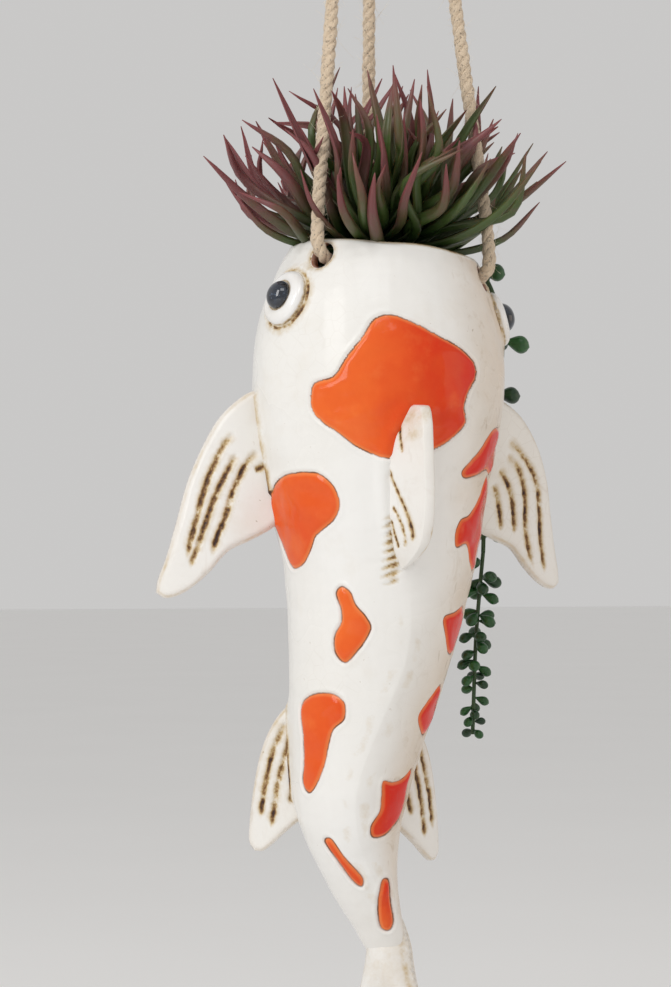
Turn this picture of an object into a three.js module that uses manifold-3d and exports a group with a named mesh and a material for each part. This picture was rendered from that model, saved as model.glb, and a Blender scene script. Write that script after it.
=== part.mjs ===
// A hanging ceramic planter shaped as a koi fish, head up, on three jute ropes, filled with artificial
// succulents. Millimetres and degrees, +Z up. The origin is where the hook bears, inside the top of the
// hanging loop. The fish's back faces -Y and its left side faces -X. An azimuth is counted about +Z from
// the back, and grows towards the fish's right.

import * as THREE from 'three';
import { mergeVertices } from 'three/addons/utils/BufferGeometryUtils.js';
import Module from 'manifold-3d';

const wasm = await Module();
wasm.setup();

// ---------------------------------------------------------------- driving dimensions

const GAP = 0.3; // between pieces that touch
const ROPE = 6; // rope diameter
const PIVOT = -64; // height where the three ropes meet under the gather knot
const RIM = -420; // height of the mouth's rim
const MOUTH_X = 3; // the mouth's middle stands beside the line under the hook, so that
const MOUTH_Y = 0.1; // the centre of mass hangs under it
const WALL = 5; // ceramic wall
const CAVITY_DEPTH = 232; // the body is solid below this
const HOLE = 11; // rope hole diameter
const HOLE_DROP = 8; // its centre below the rim
const EYE = 24; // eye white diameter
const PUPIL = 12.4;
const EYE_DROP = 25; // the eyes' centres below the rim
const EYE_AZIMUTH = 73.5;
const STEM = 2.4; // artificial stems
const FOAM_TOP = 32; // below the rim
const FOAM_BOTTOM = 74;

// The body from the rim down: depth below the rim, sideways shift of the middle, half width, half depth
// from back to belly, and how far the back has turned about the body's own line.
const STATIONS = [
  [0, 2, 40.5, 40.5, 0],
  [14, 0.8, 46.4, 46.4, 0],
  [34, -0.3, 52.6, 52, 0],
  [60, -0.6, 54, 54.5, 0],
  [92, -1.2, 48.8, 51, 0],
  [132, -0.6, 40.8, 44.5, 0],
  [170, -5, 34.3, 39.2, -2],
  [204, -10.9, 28.9, 34, -8],
  [237, -13.5, 23.2, 28, -14],
  [264, -8.6, 15.8, 19.4, -8],
  [288, 0, 10, 12.8, 12],
  [304, 4.2, 9, 11.6, 34],
];

const ROPE_AZIMUTHS = { left: -58, right: 58, rear: 166 };
// A rope's route from its stopper knot through its hole and up past the rim, outward and upward from the
// middle of the hole. From the last of these points it runs straight to the gather knot.
const ROPE_ROUTE = [[-11.5, -5.2], [-8.5, -3.5], [-5, -1.5], [-1.2, 0.6], [1.9, 4.4], [2.4, 11]];
const ROPE_SPREAD = 3.7; // each rope's middle from the pivot line, where they meet

// Tilt and azimuth of each spiky succulent, as seen from the point that they all fan out from.
const PICKS = [[0, 0], [44, -28], [44, 28], [44, 90], [44, 137], [44, 197], [44, 264]];
const FAN_HEIGHT = -10; // that point's height over the rim

const COLOURS = {
  glaze: 0xe9e4dc,
  white: 0xf4f2ee,
  black: 0x15161a,
  jute: 0xb59b78,
  foam: 0x3f5a3a,
  leaf: 0x5b4a4a,
  strand: 0x1f4a22,
};

// ---------------------------------------------------------------- small helpers

const V3 = (x, y, z) => new THREE.Vector3(x, y, z);
const rad = THREE.MathUtils.degToRad;
const outward = (azimuth) => V3(Math.sin(rad(azimuth)), -Math.cos(rad(azimuth)), 0);
const around = (azimuth) => V3(Math.cos(rad(azimuth)), Math.sin(rad(azimuth)), 0);

// A point at a distance from a middle, at an azimuth and a height.
function polar(distance, azimuth, height) {
  return outward(azimuth).multiplyScalar(distance).setZ(height);
}

function piece(name, geometry, colour, roughness = 0.6) {
  const mesh = new THREE.Mesh(geometry, new THREE.MeshStandardMaterial({ color: colour, roughness }));
  mesh.name = name;
  return mesh;
}

// A closed geometry as a solid for joining and cutting, and back.
function solid(geometry) {
  const bare = geometry.clone();
  bare.deleteAttribute('normal');
  bare.deleteAttribute('uv');
  const merged = mergeVertices(bare, 1e-4);
  return new wasm.Manifold(new wasm.Mesh({
    numProp: 3,
    vertProperties: new Float32Array(merged.attributes.position.array),
    triVerts: new Uint32Array(merged.index.array),
  }));
}

function geometryOf(body) {
  const mesh = body.getMesh();
  const geometry = new THREE.BufferGeometry();
  geometry.setAttribute('position', new THREE.BufferAttribute(mesh.vertProperties, 3));
  geometry.setIndex(new THREE.BufferAttribute(mesh.triVerts, 1));
  geometry.computeVertexNormals();
  return geometry;
}

// A closed skin over rings of equally many points, with a fan over each end.
function loft(rings) {
  const count = rings[0].length;
  const middle = (ring) => ring.reduce((sum, p) => sum.add(p), V3(0, 0, 0)).divideScalar(count);
  const points = [...rings.flat(), middle(rings[0]), middle(rings.at(-1))];
  const first = points.length - 2;
  const faces = [];
  for (let i = 0; i < count; i += 1) {
    const next = (i + 1) % count;
    for (let row = 0; row < rings.length - 1; row += 1) {
      const [a, b] = [row * count + i, row * count + next];
      faces.push(a, a + count, b, b, a + count, b + count);
    }
    const last = (rings.length - 1) * count;
    faces.push(first, i, next, first + 1, last + next, last + i);
  }
  const geometry = new THREE.BufferGeometry().setFromPoints(points);
  geometry.setIndex(faces);
  geometry.computeVertexNormals();
  return geometry;
}

const curve = (points) => new THREE.CatmullRomCurve3(points, false, 'centripetal');

// A round rod along a curve.
function rod(path, diameter, count, sides = 8) {
  const section = new THREE.Shape();
  for (let i = 0; i < sides; i += 1) {
    const turn = (2 * Math.PI * i) / sides;
    section.lineTo((diameter / 2) * Math.cos(turn), (diameter / 2) * Math.sin(turn));
  }
  return new THREE.ExtrudeGeometry(section, { steps: count, extrudePath: path });
}

// Turns a geometry made about +Y to stand at a point, along a direction.
function stand(geometry, point, direction) {
  const turn = new THREE.Quaternion().setFromUnitVectors(V3(0, 1, 0), direction.clone().normalize());
  return geometry.applyQuaternion(turn).translate(point.x, point.y, point.z);
}

const lathe = (profile, sides) => new THREE.LatheGeometry(profile.map((p) => new THREE.Vector2(...p)), sides);

// ---------------------------------------------------------------- the body's form
// Everything on the fish is placed from the middle of its rim.

const middleLine = new THREE.CatmullRomCurve3(
  STATIONS.map(([drop, shift]) => V3(shift, 0, -drop)), false, 'catmullrom');
const girth = new THREE.CatmullRomCurve3(
  STATIONS.map(([, , half, deep, turn]) => V3(half, deep, turn)), false, 'catmullrom');

// Where along the body's line a depth below the rim is reached.
function along(drop) {
  let [low, high] = [0, 1];
  for (let i = 0; i < 30; i += 1) {
    const half = (low + high) / 2;
    if (-middleLine.getPoint(half).z < drop) low = half;
    else high = half;
  }
  return low;
}

// A point of the body's skin, moved outward by grow, and the same ellipse all round.
function skin(drop, azimuth, grow = 0) {
  const t = along(drop);
  const { x: half, y: deep, z: turn } = girth.getPoint(t);
  const down = middleLine.getTangent(t);
  const across = V3(-down.z, 0, down.x);
  const back = V3(0, -1, 0);
  const angle = rad(azimuth);
  const wide = (half + grow) * Math.sin(angle);
  const thick = (deep + grow) * Math.cos(angle);
  const point = middleLine.getPoint(t);
  point.addScaledVector(across, wide * Math.cos(rad(turn)) + thick * Math.sin(rad(turn)));
  point.addScaledVector(back, thick * Math.cos(rad(turn)) - wide * Math.sin(rad(turn)));
  return point;
}

function ring(drop, grow, sides) {
  return Array.from({ length: sides }, (_, i) => skin(drop, (360 * i) / sides, grow));
}

const steps = (from, to, count) => Array.from({ length: count + 1 }, (_, i) => from + ((to - from) * i) / count);
const END = STATIONS.at(-1)[0];

const SIDES = 36; // of the body's rings
const OUTSIDE = steps(2.5, END, 20); // depths of its outer rings

// The body's outside with no hollow, grown by the gap, which trims the pieces that sit on it.
const envelope = solid(loft([0, ...OUTSIDE].map((drop) => ring(drop, GAP, SIDES))));

// ---------------------------------------------------------------- ceramic pieces

function bodyShell() {
  const inner = steps(CAVITY_DEPTH, 3, 9).map((drop) => ring(drop, -WALL, SIDES));
  const lip = [ring(0, -WALL + 1.4, SIDES), ring(0, -1.4, SIDES)];
  const outer = OUTSIDE.map((drop) => ring(drop, 0, SIDES));
  let body = solid(loft([...inner, ...lip, ...outer]));
  for (const azimuth of Object.values(ROPE_AZIMUTHS)) {
    const drill = new THREE.CylinderGeometry(HOLE / 2, HOLE / 2, 24, 16);
    body = body.subtract(solid(stand(drill, skin(HOLE_DROP, azimuth), outward(azimuth))));
  }
  return geometryOf(body);
}

// A fin is a plate cut to an outline of distance from the body's middle against depth below the rim. It
// stands at one azimuth where it leaves the body, and curls to another at its tip. It may stand lower by
// drop, and rise by lift for each millimetre outward.
function fin({ outline, thickness, azimuth, curl, reach, middle, drop = 0, lift = 0 }) {
  const shape = new THREE.Shape();
  shape.moveTo(outline[0][0], -outline[0][1]);
  shape.splineThru([...outline.slice(1), outline[0]].map(([out, drop]) => new THREE.Vector2(out, -drop)));
  const bevel = { bevelThickness: 1.3, bevelSize: 1.2, bevelOffset: -1.2, bevelSegments: 1 };
  const plate = new THREE.ExtrudeGeometry(shape, { depth: thickness - 2.6, curveSegments: 2, ...bevel });
  const place = plate.attributes.position;
  for (let i = 0; i < place.count; i += 1) {
    const [out, side] = [place.getX(i), thickness / 2 - 1.3 - place.getZ(i)];
    const height = place.getY(i) - drop + lift * (out - 45);
    const turned = azimuth + curl * (out / reach) ** 3;
    const point = outward(turned).multiplyScalar(out).addScaledVector(around(turned), side);
    place.setXYZ(i, point.x + middle, point.y, height);
  }
  return geometryOf(solid(plate).subtract(envelope));
}

const PECTORAL = {
  outline: [[40, 60], [52, 57], [61, 63], [70, 72], [77, 84], [83, 98], [88, 118], [93, 134], [96, 143],
    [91, 147.5], [82, 144.5], [74, 137], [66, 128], [57, 124], [48, 119], [38, 112]],
  thickness: 6.5,
  reach: 96,
  middle: 0,
};

// The right one has a squarer shoulder.
const RIGHT_PECTORAL = {
  ...PECTORAL,
  outline: [[40, 60], [52, 57], [61, 61.5], [72, 69.5], [80.5, 82], [86.5, 97], [90.5, 117], [94, 134], [96, 143],
    [91, 147.5], [82, 144.5], [74, 137], [66, 128], [57, 124], [48, 119], [38, 112]],
};

const PELVIC = {
  outline: [[18, 190], [30, 194], [37, 203], [42, 216], [45, 232], [46.5, 248], [44, 256.5], [37, 254],
    [30, 247], [22, 240], [12, 236]],
  thickness: 5.5,
  reach: 46,
  middle: -11.5,
};

const DORSAL = {
  outline: [[44, 67], [58, 66.5], [65, 69], [68, 80], [68.5, 96], [68, 110], [65, 122], [60, 131],
    [52, 138], [40, 141], [36, 132], [38, 96]],
  thickness: 7,
  reach: 68,
  middle: -0.8,
};

// The tail is a forked fan, flat in the plane of one azimuth.
function tailFin() {
  const half = [[9.5, END - 6], [10.5, END + 4], [15, END + 16], [24, END + 31], [34, END + 47], [38, END + 59],
    [32, END + 60], [20, END + 52], [8, END + 44]];
  const outline = [...half, ...half.toReversed().map(([out, drop]) => [-out, drop])];
  return fin({ outline, thickness: 7, azimuth: 38, curl: 0, reach: 38, middle: 3.4 });
}

// An eye stands square to the body: a white disc, and a domed pupil on it.
function eye(side) {
  const azimuth = side * EYE_AZIMUTH;
  const at = skin(EYE_DROP, azimuth);
  const slope = skin(EYE_DROP - 4, azimuth).sub(skin(EYE_DROP + 4, azimuth));
  const facing = slope.cross(around(azimuth)).normalize().negate();
  const [r, p] = [EYE / 2, PUPIL / 2];
  const disc = lathe([[0, -12], [r, -12], [r, 1.6], [r - 1.2, 2.8], [r - 5, 3.4], [0, 3.6]], 20);
  const dome = lathe([[0, 3.9], [p, 3.9], [p - 0.3, 5.2], [p - 1.8, 6.9], [p - 4, 7.9], [0, 8.2]], 14);
  return {
    white: geometryOf(solid(stand(disc, at, facing)).subtract(envelope)),
    pupil: stand(dome, at, facing),
  };
}

// ---------------------------------------------------------------- ropes and their knots

// The routes are in the whole object's frame, from the stopper knot up.
function ropeRoute(azimuth) {
  const hole = skin(HOLE_DROP, azimuth).add(V3(MOUTH_X, MOUTH_Y, RIM));
  const low = ROPE_ROUTE.map(([out, height]) => polar(out, azimuth, height).add(hole));
  const top = polar(ROPE_SPREAD, azimuth, PIVOT - 7.5);
  const rise = [0.25, 0.5, 0.75].map((share) => low.at(-1).clone().lerp(top, share));
  return [...low, ...rise, top];
}

function stopperKnot(azimuth) {
  const [end, next] = ropeRoute(azimuth);
  const inward = end.clone().sub(next).normalize();
  const knot = new THREE.SphereGeometry(7, 10, 7).scale(1, 0.86, 1);
  return stand(knot, end.clone().addScaledVector(inward, 6.4), inward);
}

function hangingLoop() {
  const side = [[3.7, -37], [6.6, -28], [9.6, -16], [8.2, -4]];
  const left = side.map(([x, z]) => V3(-x, 0, z));
  const right = side.toReversed().map(([x, z]) => V3(x, 0, z));
  return rod(curve([...left, V3(0, 0, ROPE / 2), ...right]), ROPE, 18);
}

function gatherKnot() {
  const profile = [[0, -57.2 + GAP], [7, -57.2 + GAP], [10.5, -54], [12, -48.5], [11, -42], [8, -38.4], [0, -37.4]];
  return lathe(profile, 16).rotateX(Math.PI / 2);
}

// ---------------------------------------------------------------- foam and artificial plants

const FAN = V3(0, 0, FAN_HEIGHT);
const CORE_START = 15; // of a succulent's core, from the point that they fan out from

const pickAxis = ([tilt, azimuth]) => polar(Math.sin(rad(tilt)), azimuth, Math.cos(rad(tilt)));

// A rosette is a core with pointed leaves that stay within its own cone about its axis.
function rosette(pick, index) {
  const axis = pickAxis(pick);
  const spread = index === 0 ? 21 : 17;
  const count = index === 0 ? 18 : 15;
  const flat = V3(Math.sin(index), Math.cos(index), 0.3).cross(axis).normalize();
  const core = new THREE.ConeGeometry(4.2, 34, 6).translate(0, 17, 0);
  let body = solid(stand(core, FAN.clone().addScaledVector(axis, CORE_START), axis));
  for (let i = 0; i < count; i += 1) {
    const share = (i + 0.5) / count;
    const off = rad(spread * Math.sqrt(share));
    const lean = flat.clone().applyAxisAngle(axis, i * 2.4);
    const reach = 76 + 18 * ((i * 0.618 + index * 0.37) % 1) - (index === 0 ? 4 : 0);
    const tip = FAN.clone().addScaledVector(axis, reach * Math.cos(off)).addScaledVector(lean, reach * Math.sin(off));
    const root = FAN.clone().addScaledVector(axis, CORE_START + 3 + 16 * (1 - share));
    const length = tip.distanceTo(root);
    const leaf = new THREE.ConeGeometry(2.3, length, 4).translate(0, length / 2, 0);
    body = body.add(solid(stand(leaf, root, tip.clone().sub(root))));
  }
  return geometryOf(body);
}

// The stem goes straight down into the foam from under its rosette.
const STEM_LOW = 0.62; // share of the way out at which a stem stands in the foam
function stemRoute(pick) {
  const top = FAN.clone().addScaledVector(pickAxis(pick), CORE_START - 2 * GAP);
  const foot = top.clone().multiplyScalar(STEM_LOW);
  return [foot.clone().setZ(-FOAM_TOP - 26), foot.clone().setZ(-FOAM_TOP + 4), foot.clone().setZ(-8), top];
}

// The trailing strand, as outward distance, azimuth and height. Its root leaves the foam and arches over
// the rim, its upper half swings there, and its lower half swings where the upper one ends.
const strandLine = (route) => curve(route.map((place) => polar(...place)));
const STRAND_FOOT = [19, 116, -58];
const STRAND_ROOT = strandLine([STRAND_FOOT, [19, 116, -42], [19, 116, -28], [22.5, 115, -10], [30, 111, 1],
  [37, 107, 4.2], [42, 105, 3.4]]);
const STRAND_UPPER = strandLine([[43.2, 104.5, 2.8], [49, 101.5, -0.8], [54, 98, -7], [57.5, 96, -16],
  [60.5, 95.5, -28], [62, 97, -40], [62.3, 100, -50], [62, 104, -62], [61.5, 106.5, -80], [61, 108, -100],
  [61, 109, -127]]);
const STRAND_LOWER = strandLine([[61, 109, -128.4], [61, 111.5, -148], [60.5, 113, -168], [60, 114.5, -208]]);
// Each leaf pair's share of the upper half, size and leaf azimuths.
const LEAF_PAIRS = [[0.105, 4.9, [72, 150]], [0.345, 5.1, [72, 165]], [0.48, 4.8, [74, 160]],
  [0.7, 4.1, [150, 200]], [0.94, 4.1, [70, 165]]];

// A collar round the stem with a gap to it, and leaves on the collar at chosen azimuths.
function whorl(line, share, size, azimuths, droop) {
  const bore = STEM / 2 + GAP;
  const middle = line.getPointAt(share);
  const profile = [[bore, -1.2], [bore + 1.9, -1.2], [bore + 1.9, 1.2], [bore, 1.2], [bore, -1.2]];
  let body = solid(stand(lathe(profile, 7), middle, line.getTangentAt(share).negate()));
  for (const azimuth of azimuths) {
    const leaf = new THREE.SphereGeometry(1, 6, 5).scale(size * 0.78, size, size * 0.84);
    const direction = outward(azimuth).setZ(-droop);
    const root = middle.clone().addScaledVector(direction.clone().normalize(), bore + 0.9 + size);
    body = body.add(solid(stand(leaf, root, direction)));
  }
  return geometryOf(body);
}

function foamPlug() {
  const rings = steps(FOAM_TOP, FOAM_BOTTOM, 4).map((drop) => ring(drop, -WALL - 1, SIDES / 2));
  let foam = solid(loft(rings));
  const feet = [...PICKS.map((pick) => stemRoute(pick)[0]), polar(...STRAND_FOOT)];
  for (const foot of feet) {
    const socket = new THREE.CylinderGeometry(STEM / 2 + GAP, STEM / 2 + GAP, 60, 7).rotateX(Math.PI / 2);
    foam = foam.subtract(solid(socket.translate(foot.x, foot.y, foot.z + 30 - 2)));
  }
  return geometryOf(foam);
}

// ---------------------------------------------------------------- assembly

const planter = new THREE.Group();

const fish = new THREE.Group();
fish.position.set(MOUTH_X, MOUTH_Y, RIM);
planter.add(fish);

fish.add(piece('body_shell', bodyShell(), COLOURS.glaze, 0.35));
fish.add(piece('dorsal_fin', fin({ ...DORSAL, azimuth: -5, curl: 2 }), COLOURS.glaze, 0.4));
fish.add(piece('tail_fin', tailFin(), COLOURS.glaze, 0.4));
const PAIRED_FINS = {
  left_pectoral_fin: { ...PECTORAL, azimuth: -96, curl: -10 },
  right_pectoral_fin: { ...RIGHT_PECTORAL, azimuth: 96, curl: 5, lift: 0.08 },
  left_pelvic_fin: { ...PELVIC, azimuth: -118, curl: -6 },
  right_pelvic_fin: { ...PELVIC, azimuth: 102, curl: 6, drop: 6 },
};
for (const [name, form] of Object.entries(PAIRED_FINS)) {
  fish.add(piece(name, fin(form), COLOURS.glaze, 0.4));
}
for (const [name, side] of [['left', -1], ['right', 1]]) {
  const { white, pupil } = eye(side);
  fish.add(piece(`${name}_eye_white`, white, COLOURS.white, 0.3));
  fish.add(piece(`${name}_pupil`, pupil, COLOURS.black, 0.1));
}

fish.add(piece('foam_plug', foamPlug(), COLOURS.foam, 0.95));
PICKS.forEach((pick, index) => {
  fish.add(piece(`succulent_${index + 1}_stem`, rod(curve(stemRoute(pick)), STEM, 5, 6), COLOURS.strand, 0.7));
  fish.add(piece(`succulent_${index + 1}_rosette`, rosette(pick, index), COLOURS.leaf, 0.5));
});

fish.add(piece('strand_root', rod(STRAND_ROOT, STEM, 9, 6), COLOURS.strand, 0.6));
fish.add(piece('strand_upper_stem', rod(STRAND_UPPER, STEM, 22, 6), COLOURS.strand, 0.6));
fish.add(piece('strand_lower_stem', rod(STRAND_LOWER, STEM, 8, 6), COLOURS.strand, 0.6));
LEAF_PAIRS.forEach(([share, size, azimuths], index) => {
  const pair = whorl(STRAND_UPPER, share, size, azimuths, 0.15);
  fish.add(piece(`strand_leaf_pair_${index + 1}`, pair, COLOURS.strand, 0.5));
});
for (let i = 0; i < 9; i += 1) {
  const beads = [0, 90, 180, 270].map((step) => 112 + 45 * (i % 2) + step);
  const beaded = whorl(STRAND_LOWER, 0.11 + 0.103 * i, 3.9 - 0.16 * i, beads, 0.35);
  fish.add(piece(`strand_whorl_${i + 1}`, beaded, COLOURS.strand, 0.5));
}

for (const [name, azimuth] of Object.entries(ROPE_AZIMUTHS)) {
  planter.add(piece(`${name}_rope`, rod(curve(ropeRoute(azimuth)), ROPE, 20), COLOURS.jute, 0.95));
  planter.add(piece(`${name}_stopper_knot`, stopperKnot(azimuth), COLOURS.jute, 0.95));
}
planter.add(piece('gather_knot', gatherKnot(), COLOURS.jute, 0.95));
const bundle = new THREE.SphereGeometry(7, 12, 8).rotateX(Math.PI / 2).translate(0, 0, PIVOT);
planter.add(piece('rope_bundle', bundle, COLOURS.jute, 0.95));
planter.add(piece('hanging_loop', hangingLoop(), COLOURS.jute, 0.95));

export default planter;
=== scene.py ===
"""The looks of a hanging ceramic koi planter with jute ropes and artificial succulents.

Lengths are in millimetres. The fish and the plants are measured from the middle of the fish's rim, with
its back towards -Y, and ropes from the hook. An azimuth is counted about +Z from the back and grows
towards the fish's right; a drop is a depth below the rim.
"""

import math

import bmesh
import bpy
import numpy as np
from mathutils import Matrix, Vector


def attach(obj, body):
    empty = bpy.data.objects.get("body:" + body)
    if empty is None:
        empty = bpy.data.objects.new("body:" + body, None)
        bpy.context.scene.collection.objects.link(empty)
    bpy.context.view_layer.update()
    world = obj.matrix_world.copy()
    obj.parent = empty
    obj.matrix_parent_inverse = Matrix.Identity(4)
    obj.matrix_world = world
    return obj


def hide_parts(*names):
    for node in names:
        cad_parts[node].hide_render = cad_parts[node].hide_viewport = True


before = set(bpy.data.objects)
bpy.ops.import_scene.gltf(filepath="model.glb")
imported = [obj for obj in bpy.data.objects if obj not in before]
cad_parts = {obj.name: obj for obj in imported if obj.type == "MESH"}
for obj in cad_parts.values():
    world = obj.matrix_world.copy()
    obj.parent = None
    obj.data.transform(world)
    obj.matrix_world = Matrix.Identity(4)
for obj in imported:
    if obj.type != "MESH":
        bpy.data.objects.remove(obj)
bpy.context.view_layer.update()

MM = 0.001
RIM_AT = np.array([3, 0.1, -420.0])  # the middle of the rim, from the hook
UP = np.array([0, 0, 1.0])

# ---------------------------------------------------------------- driving dimensions

# Drop, sideways shift of the middle, half width, half depth, and the turn of the back, down the body.
STATIONS = np.array([
    [0, 2, 40.5, 40.5, 0],
    [14, 0.8, 46.4, 46.4, 0],
    [34, -0.3, 52.6, 52, 0],
    [60, -0.6, 54, 54.5, 0],
    [92, -1.2, 48.8, 51, 0],
    [132, -0.6, 40.8, 44.5, 0],
    [170, -5, 34.3, 39.2, -2],
    [204, -10.9, 28.9, 34, -8],
    [237, -13.5, 23.2, 28, -14],
    [264, -8.6, 15.8, 19.4, -8],
    [288, 0, 10, 12.8, 12],
    [304, 4.2, 9, 11.6, 34],
])
END = 304
WALL = 5
CAVITY_DEPTH = 232
HOLE = 11
HOLE_DROP = 8
EYE_DROP = 25
EYE_AZIMUTH = 73.5
EYE = 24
PUPIL = 12.4

ROPE = 6
ROPE_LAY = 14.5  # length in which a rope's strands go once round
PIVOT = -64
ROPE_AZIMUTHS = {"left": -58, "right": 58, "rear": 166}
# From the stopper knot through the hole and up past the rim: outward and upward from the hole's middle.
ROPE_ROUTE = [(-11.5, -5.2), (-8.5, -3.5), (-5, -1.5), (-1.2, 0.6), (1.9, 4.4), (2.4, 11)]
ROPE_SPREAD = 3.7
PLY_SIDES = 14
PLY_RADIUS = 0.305  # of a rope's diameter
PLY_OFFSET = 0.18  # how far a ply's middle is from the rope's, of its diameter
ROPE_STEP = 0.75  # between a rope's rings
HAIR = 0.065  # a stray fibre's radius

# The glaze patches' outlines, as azimuth and drop.
PATCHES = {
    "crown": [(-54, 65), (-52, 60), (-42, 57), (-36, 49), (-29, 41), (-24, 34), (-17, 32), (-8, 34), (0, 37),
              (7, 40), (15, 43), (21, 46), (26, 50), (27, 55), (22, 62), (20, 68), (22, 74), (18, 79),
              (6, 86), (-4, 88), (-14, 90), (-20, 90), (-32, 86), (-42, 80), (-49, 76), (-54, 71)],
    "left_shoulder": [(-90, 100), (-78, 96), (-64, 95), (-53, 96), (-46, 101), (-44, 108), (-48, 114),
                      (-55, 118), (-62, 122), (-67, 128), (-76, 136), (-89, 138), (-97, 129), (-100, 118),
                      (-97, 108)],
    "keyhole": [(-49, 149), (-46, 146), (-40, 148), (-36, 153), (-28, 158), (-24, 162), (-26, 167),
                (-30, 172), (-37, 178), (-46, 174), (-48, 167), (-44, 161), (-45, 156)],
    "lower_left": [(-71, 198), (-63, 194), (-51, 192), (-39, 192), (-30, 195), (-28, 200), (-36, 205),
                   (-38, 212), (-40, 220), (-47, 227), (-56, 230), (-65, 227), (-64, 220), (-66, 210)],
    "lower_right": [(20, 224), (33, 224), (48, 222), (58, 218), (62, 228), (66, 239), (45, 246), (24, 248),
                    (12, 246), (12, 243), (24, 236), (23, 230)],
    "sliver": [(-46, 247), (-36, 246), (-26, 254), (-14, 263), (-20, 266), (-29, 264), (-39, 254)],
    "capsule": [(15, 266), (24, 268), (13, 276), (0, 285), (-26, 288), (-34, 286), (-9, 274), (1, 270)],
    "flank_high": [(48, 76), (36, 86), (24, 96), (26, 98), (36, 97), (50, 94), (62, 96), (72, 88), (66, 76)],
    "flank_middle": [(54, 97), (43, 108), (35, 114), (27, 116), (24, 121), (26, 126), (36, 125), (46, 131),
                     (60, 134), (70, 122), (66, 106)],
    "flank_low": [(29, 154), (40, 151), (54, 148), (64, 154), (60, 166), (48, 167), (34, 159)],
    "flank_small": [(54, 180), (39, 190), (37, 194), (48, 200), (62, 202), (68, 190)],
    "right_side": [(104, 150), (116, 144), (130, 150), (134, 164), (122, 176), (108, 170)],
    "right_tail": [(96, 214), (112, 208), (128, 216), (124, 232), (106, 236)],
    "left_side": [(-150, 168), (-136, 162), (-127, 170), (-131, 184), (-146, 186)],
    "left_cheek": [(-152, 62), (-138, 54), (-126, 60), (-128, 74), (-142, 84), (-154, 76)],
    "belly": [(164, 108), (178, 100), (194, 106), (192, 124), (176, 134), (166, 124)],
}

# The crest of the back from the dorsal fin to the tail, as drop and azimuth.
SPINE = [(138, -4), (150, -1), (165, 3), (180, 4), (200, 1), (225, -4), (250, -3), (272, 2), (290, 8)]

# The dorsal fin by drop: the azimuth where its left face leaves the skin, its crest's azimuth and its
# crest's distance from the body's middle.
DORSAL = np.array([
    [68.5, -7, -4.5, 55],
    [70, -9.5, -4.6, 62.5],
    [76, -13.5, -4.7, 66.5],
    [84, -17.5, -4.7, 67.5],
    [94, -20, -4.5, 68],
    [108, -20.5, -4, 67],
    [118, -20, -3.8, 64.5],
    [126, -18.5, -4.3, 60],
    [130, -17, -5.5, 54.5],
    [133.5, -14.5, -7.2, 48],
    [136.5, -12, -9.5, 42],
])
DORSAL_ACROSS = 34  # length across the fin from its foot over its crest to its root
# Down the left face: the drop, and the share of the way across.
DORSAL_GROOVES = [
    [(77, 0.16), (80, 0.24), (85, 0.33), (88.5, 0.37)],
    [(94, 0.14), (99, 0.22), (110, 0.40), (118, 0.49), (123, 0.53), (125.5, 0.53)],
    [(109.5, 0.2), (114.5, 0.31), (119.5, 0.385), (125, 0.43), (127, 0.4)],
    [(115, 0.16), (120.5, 0.21), (127.5, 0.31)],
]

# ---------------------------------------------------------------- the body's form


def unit(vectors):
    """Vectors at length one."""
    return vectors / np.maximum(np.linalg.norm(vectors, axis=-1, keepdims=True), 1e-12)


def smooth(x):
    """An even step from 0 to 1 as x does the same."""
    x = np.clip(x, 0, 1)
    return x * x * (3 - 2 * x)


def bell(distance, width):
    """A soft bump that is 1 at no distance and fades over width."""
    return np.exp(-((distance / width) ** 2))


def outward(azimuth):
    """The level direction at an azimuth."""
    a = np.radians(azimuth)
    return np.stack([np.sin(a), -np.cos(a), np.zeros_like(a)], -1)


def around(azimuth):
    """The level direction in which an azimuth grows."""
    a = np.radians(azimuth)
    return np.stack([np.cos(a), np.sin(a), np.zeros_like(a)], -1)


def body_line(t):
    """The stations at t from 0 to 1 along the body, and how they change, on a Catmull-Rom curve."""
    p = np.vstack([2 * STATIONS[0] - STATIONS[1], STATIONS, 2 * STATIONS[-1] - STATIONS[-2]])
    t = np.clip(t, 0, 1) * (len(STATIONS) - 1)
    i = np.minimum(t.astype(int), len(STATIONS) - 2)
    w = (t - i)[..., None]
    a, b, c, d = p[i], p[i + 1], p[i + 2], p[i + 3]
    square, cube = 2 * a - 5 * b + 4 * c - d, 3 * b - a - 3 * c + d
    value = 0.5 * (2 * b + (c - a) * w + square * w**2 + cube * w**3)
    return value, (c - a) + 2 * square * w + 3 * cube * w**2


LINE_SHARES = np.linspace(0, 1, 3001)
LINE_DROPS = body_line(LINE_SHARES)[0][:, 0]


def skin(drop, azimuth, grow=0.0):
    """Points of the body's plain skin, moved outward by grow."""
    drop, azimuth = np.broadcast_arrays(np.asarray(drop, float), np.asarray(azimuth, float))
    value, change = body_line(np.interp(drop, LINE_DROPS, LINE_SHARES))
    shift, half, deep, turn = value[..., 1], value[..., 2], value[..., 3], np.radians(value[..., 4])
    slope = np.hypot(change[..., 0], change[..., 1])
    across_x, across_z = change[..., 0] / slope, change[..., 1] / slope
    angle = np.radians(azimuth)
    wide, thick = (half + grow) * np.sin(angle), (deep + grow) * np.cos(angle)
    side = wide * np.cos(turn) + thick * np.sin(turn)
    back = thick * np.cos(turn) - wide * np.sin(turn)
    return np.stack([shift + across_x * side, -back, -drop + across_z * side], -1)


def skin_normal(drop, azimuth):
    """The direction that the plain skin faces."""
    along = skin(drop + 0.5, azimuth) - skin(drop - 0.5, azimuth)
    about = skin(drop, azimuth + 0.5) - skin(drop, azimuth - 0.5)
    return unit(np.cross(along, about))


def run_along(line):
    """The length from a line's start to each of its points."""
    return np.concatenate([[0], np.cumsum(np.linalg.norm(np.diff(line, axis=0), axis=1))])


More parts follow.
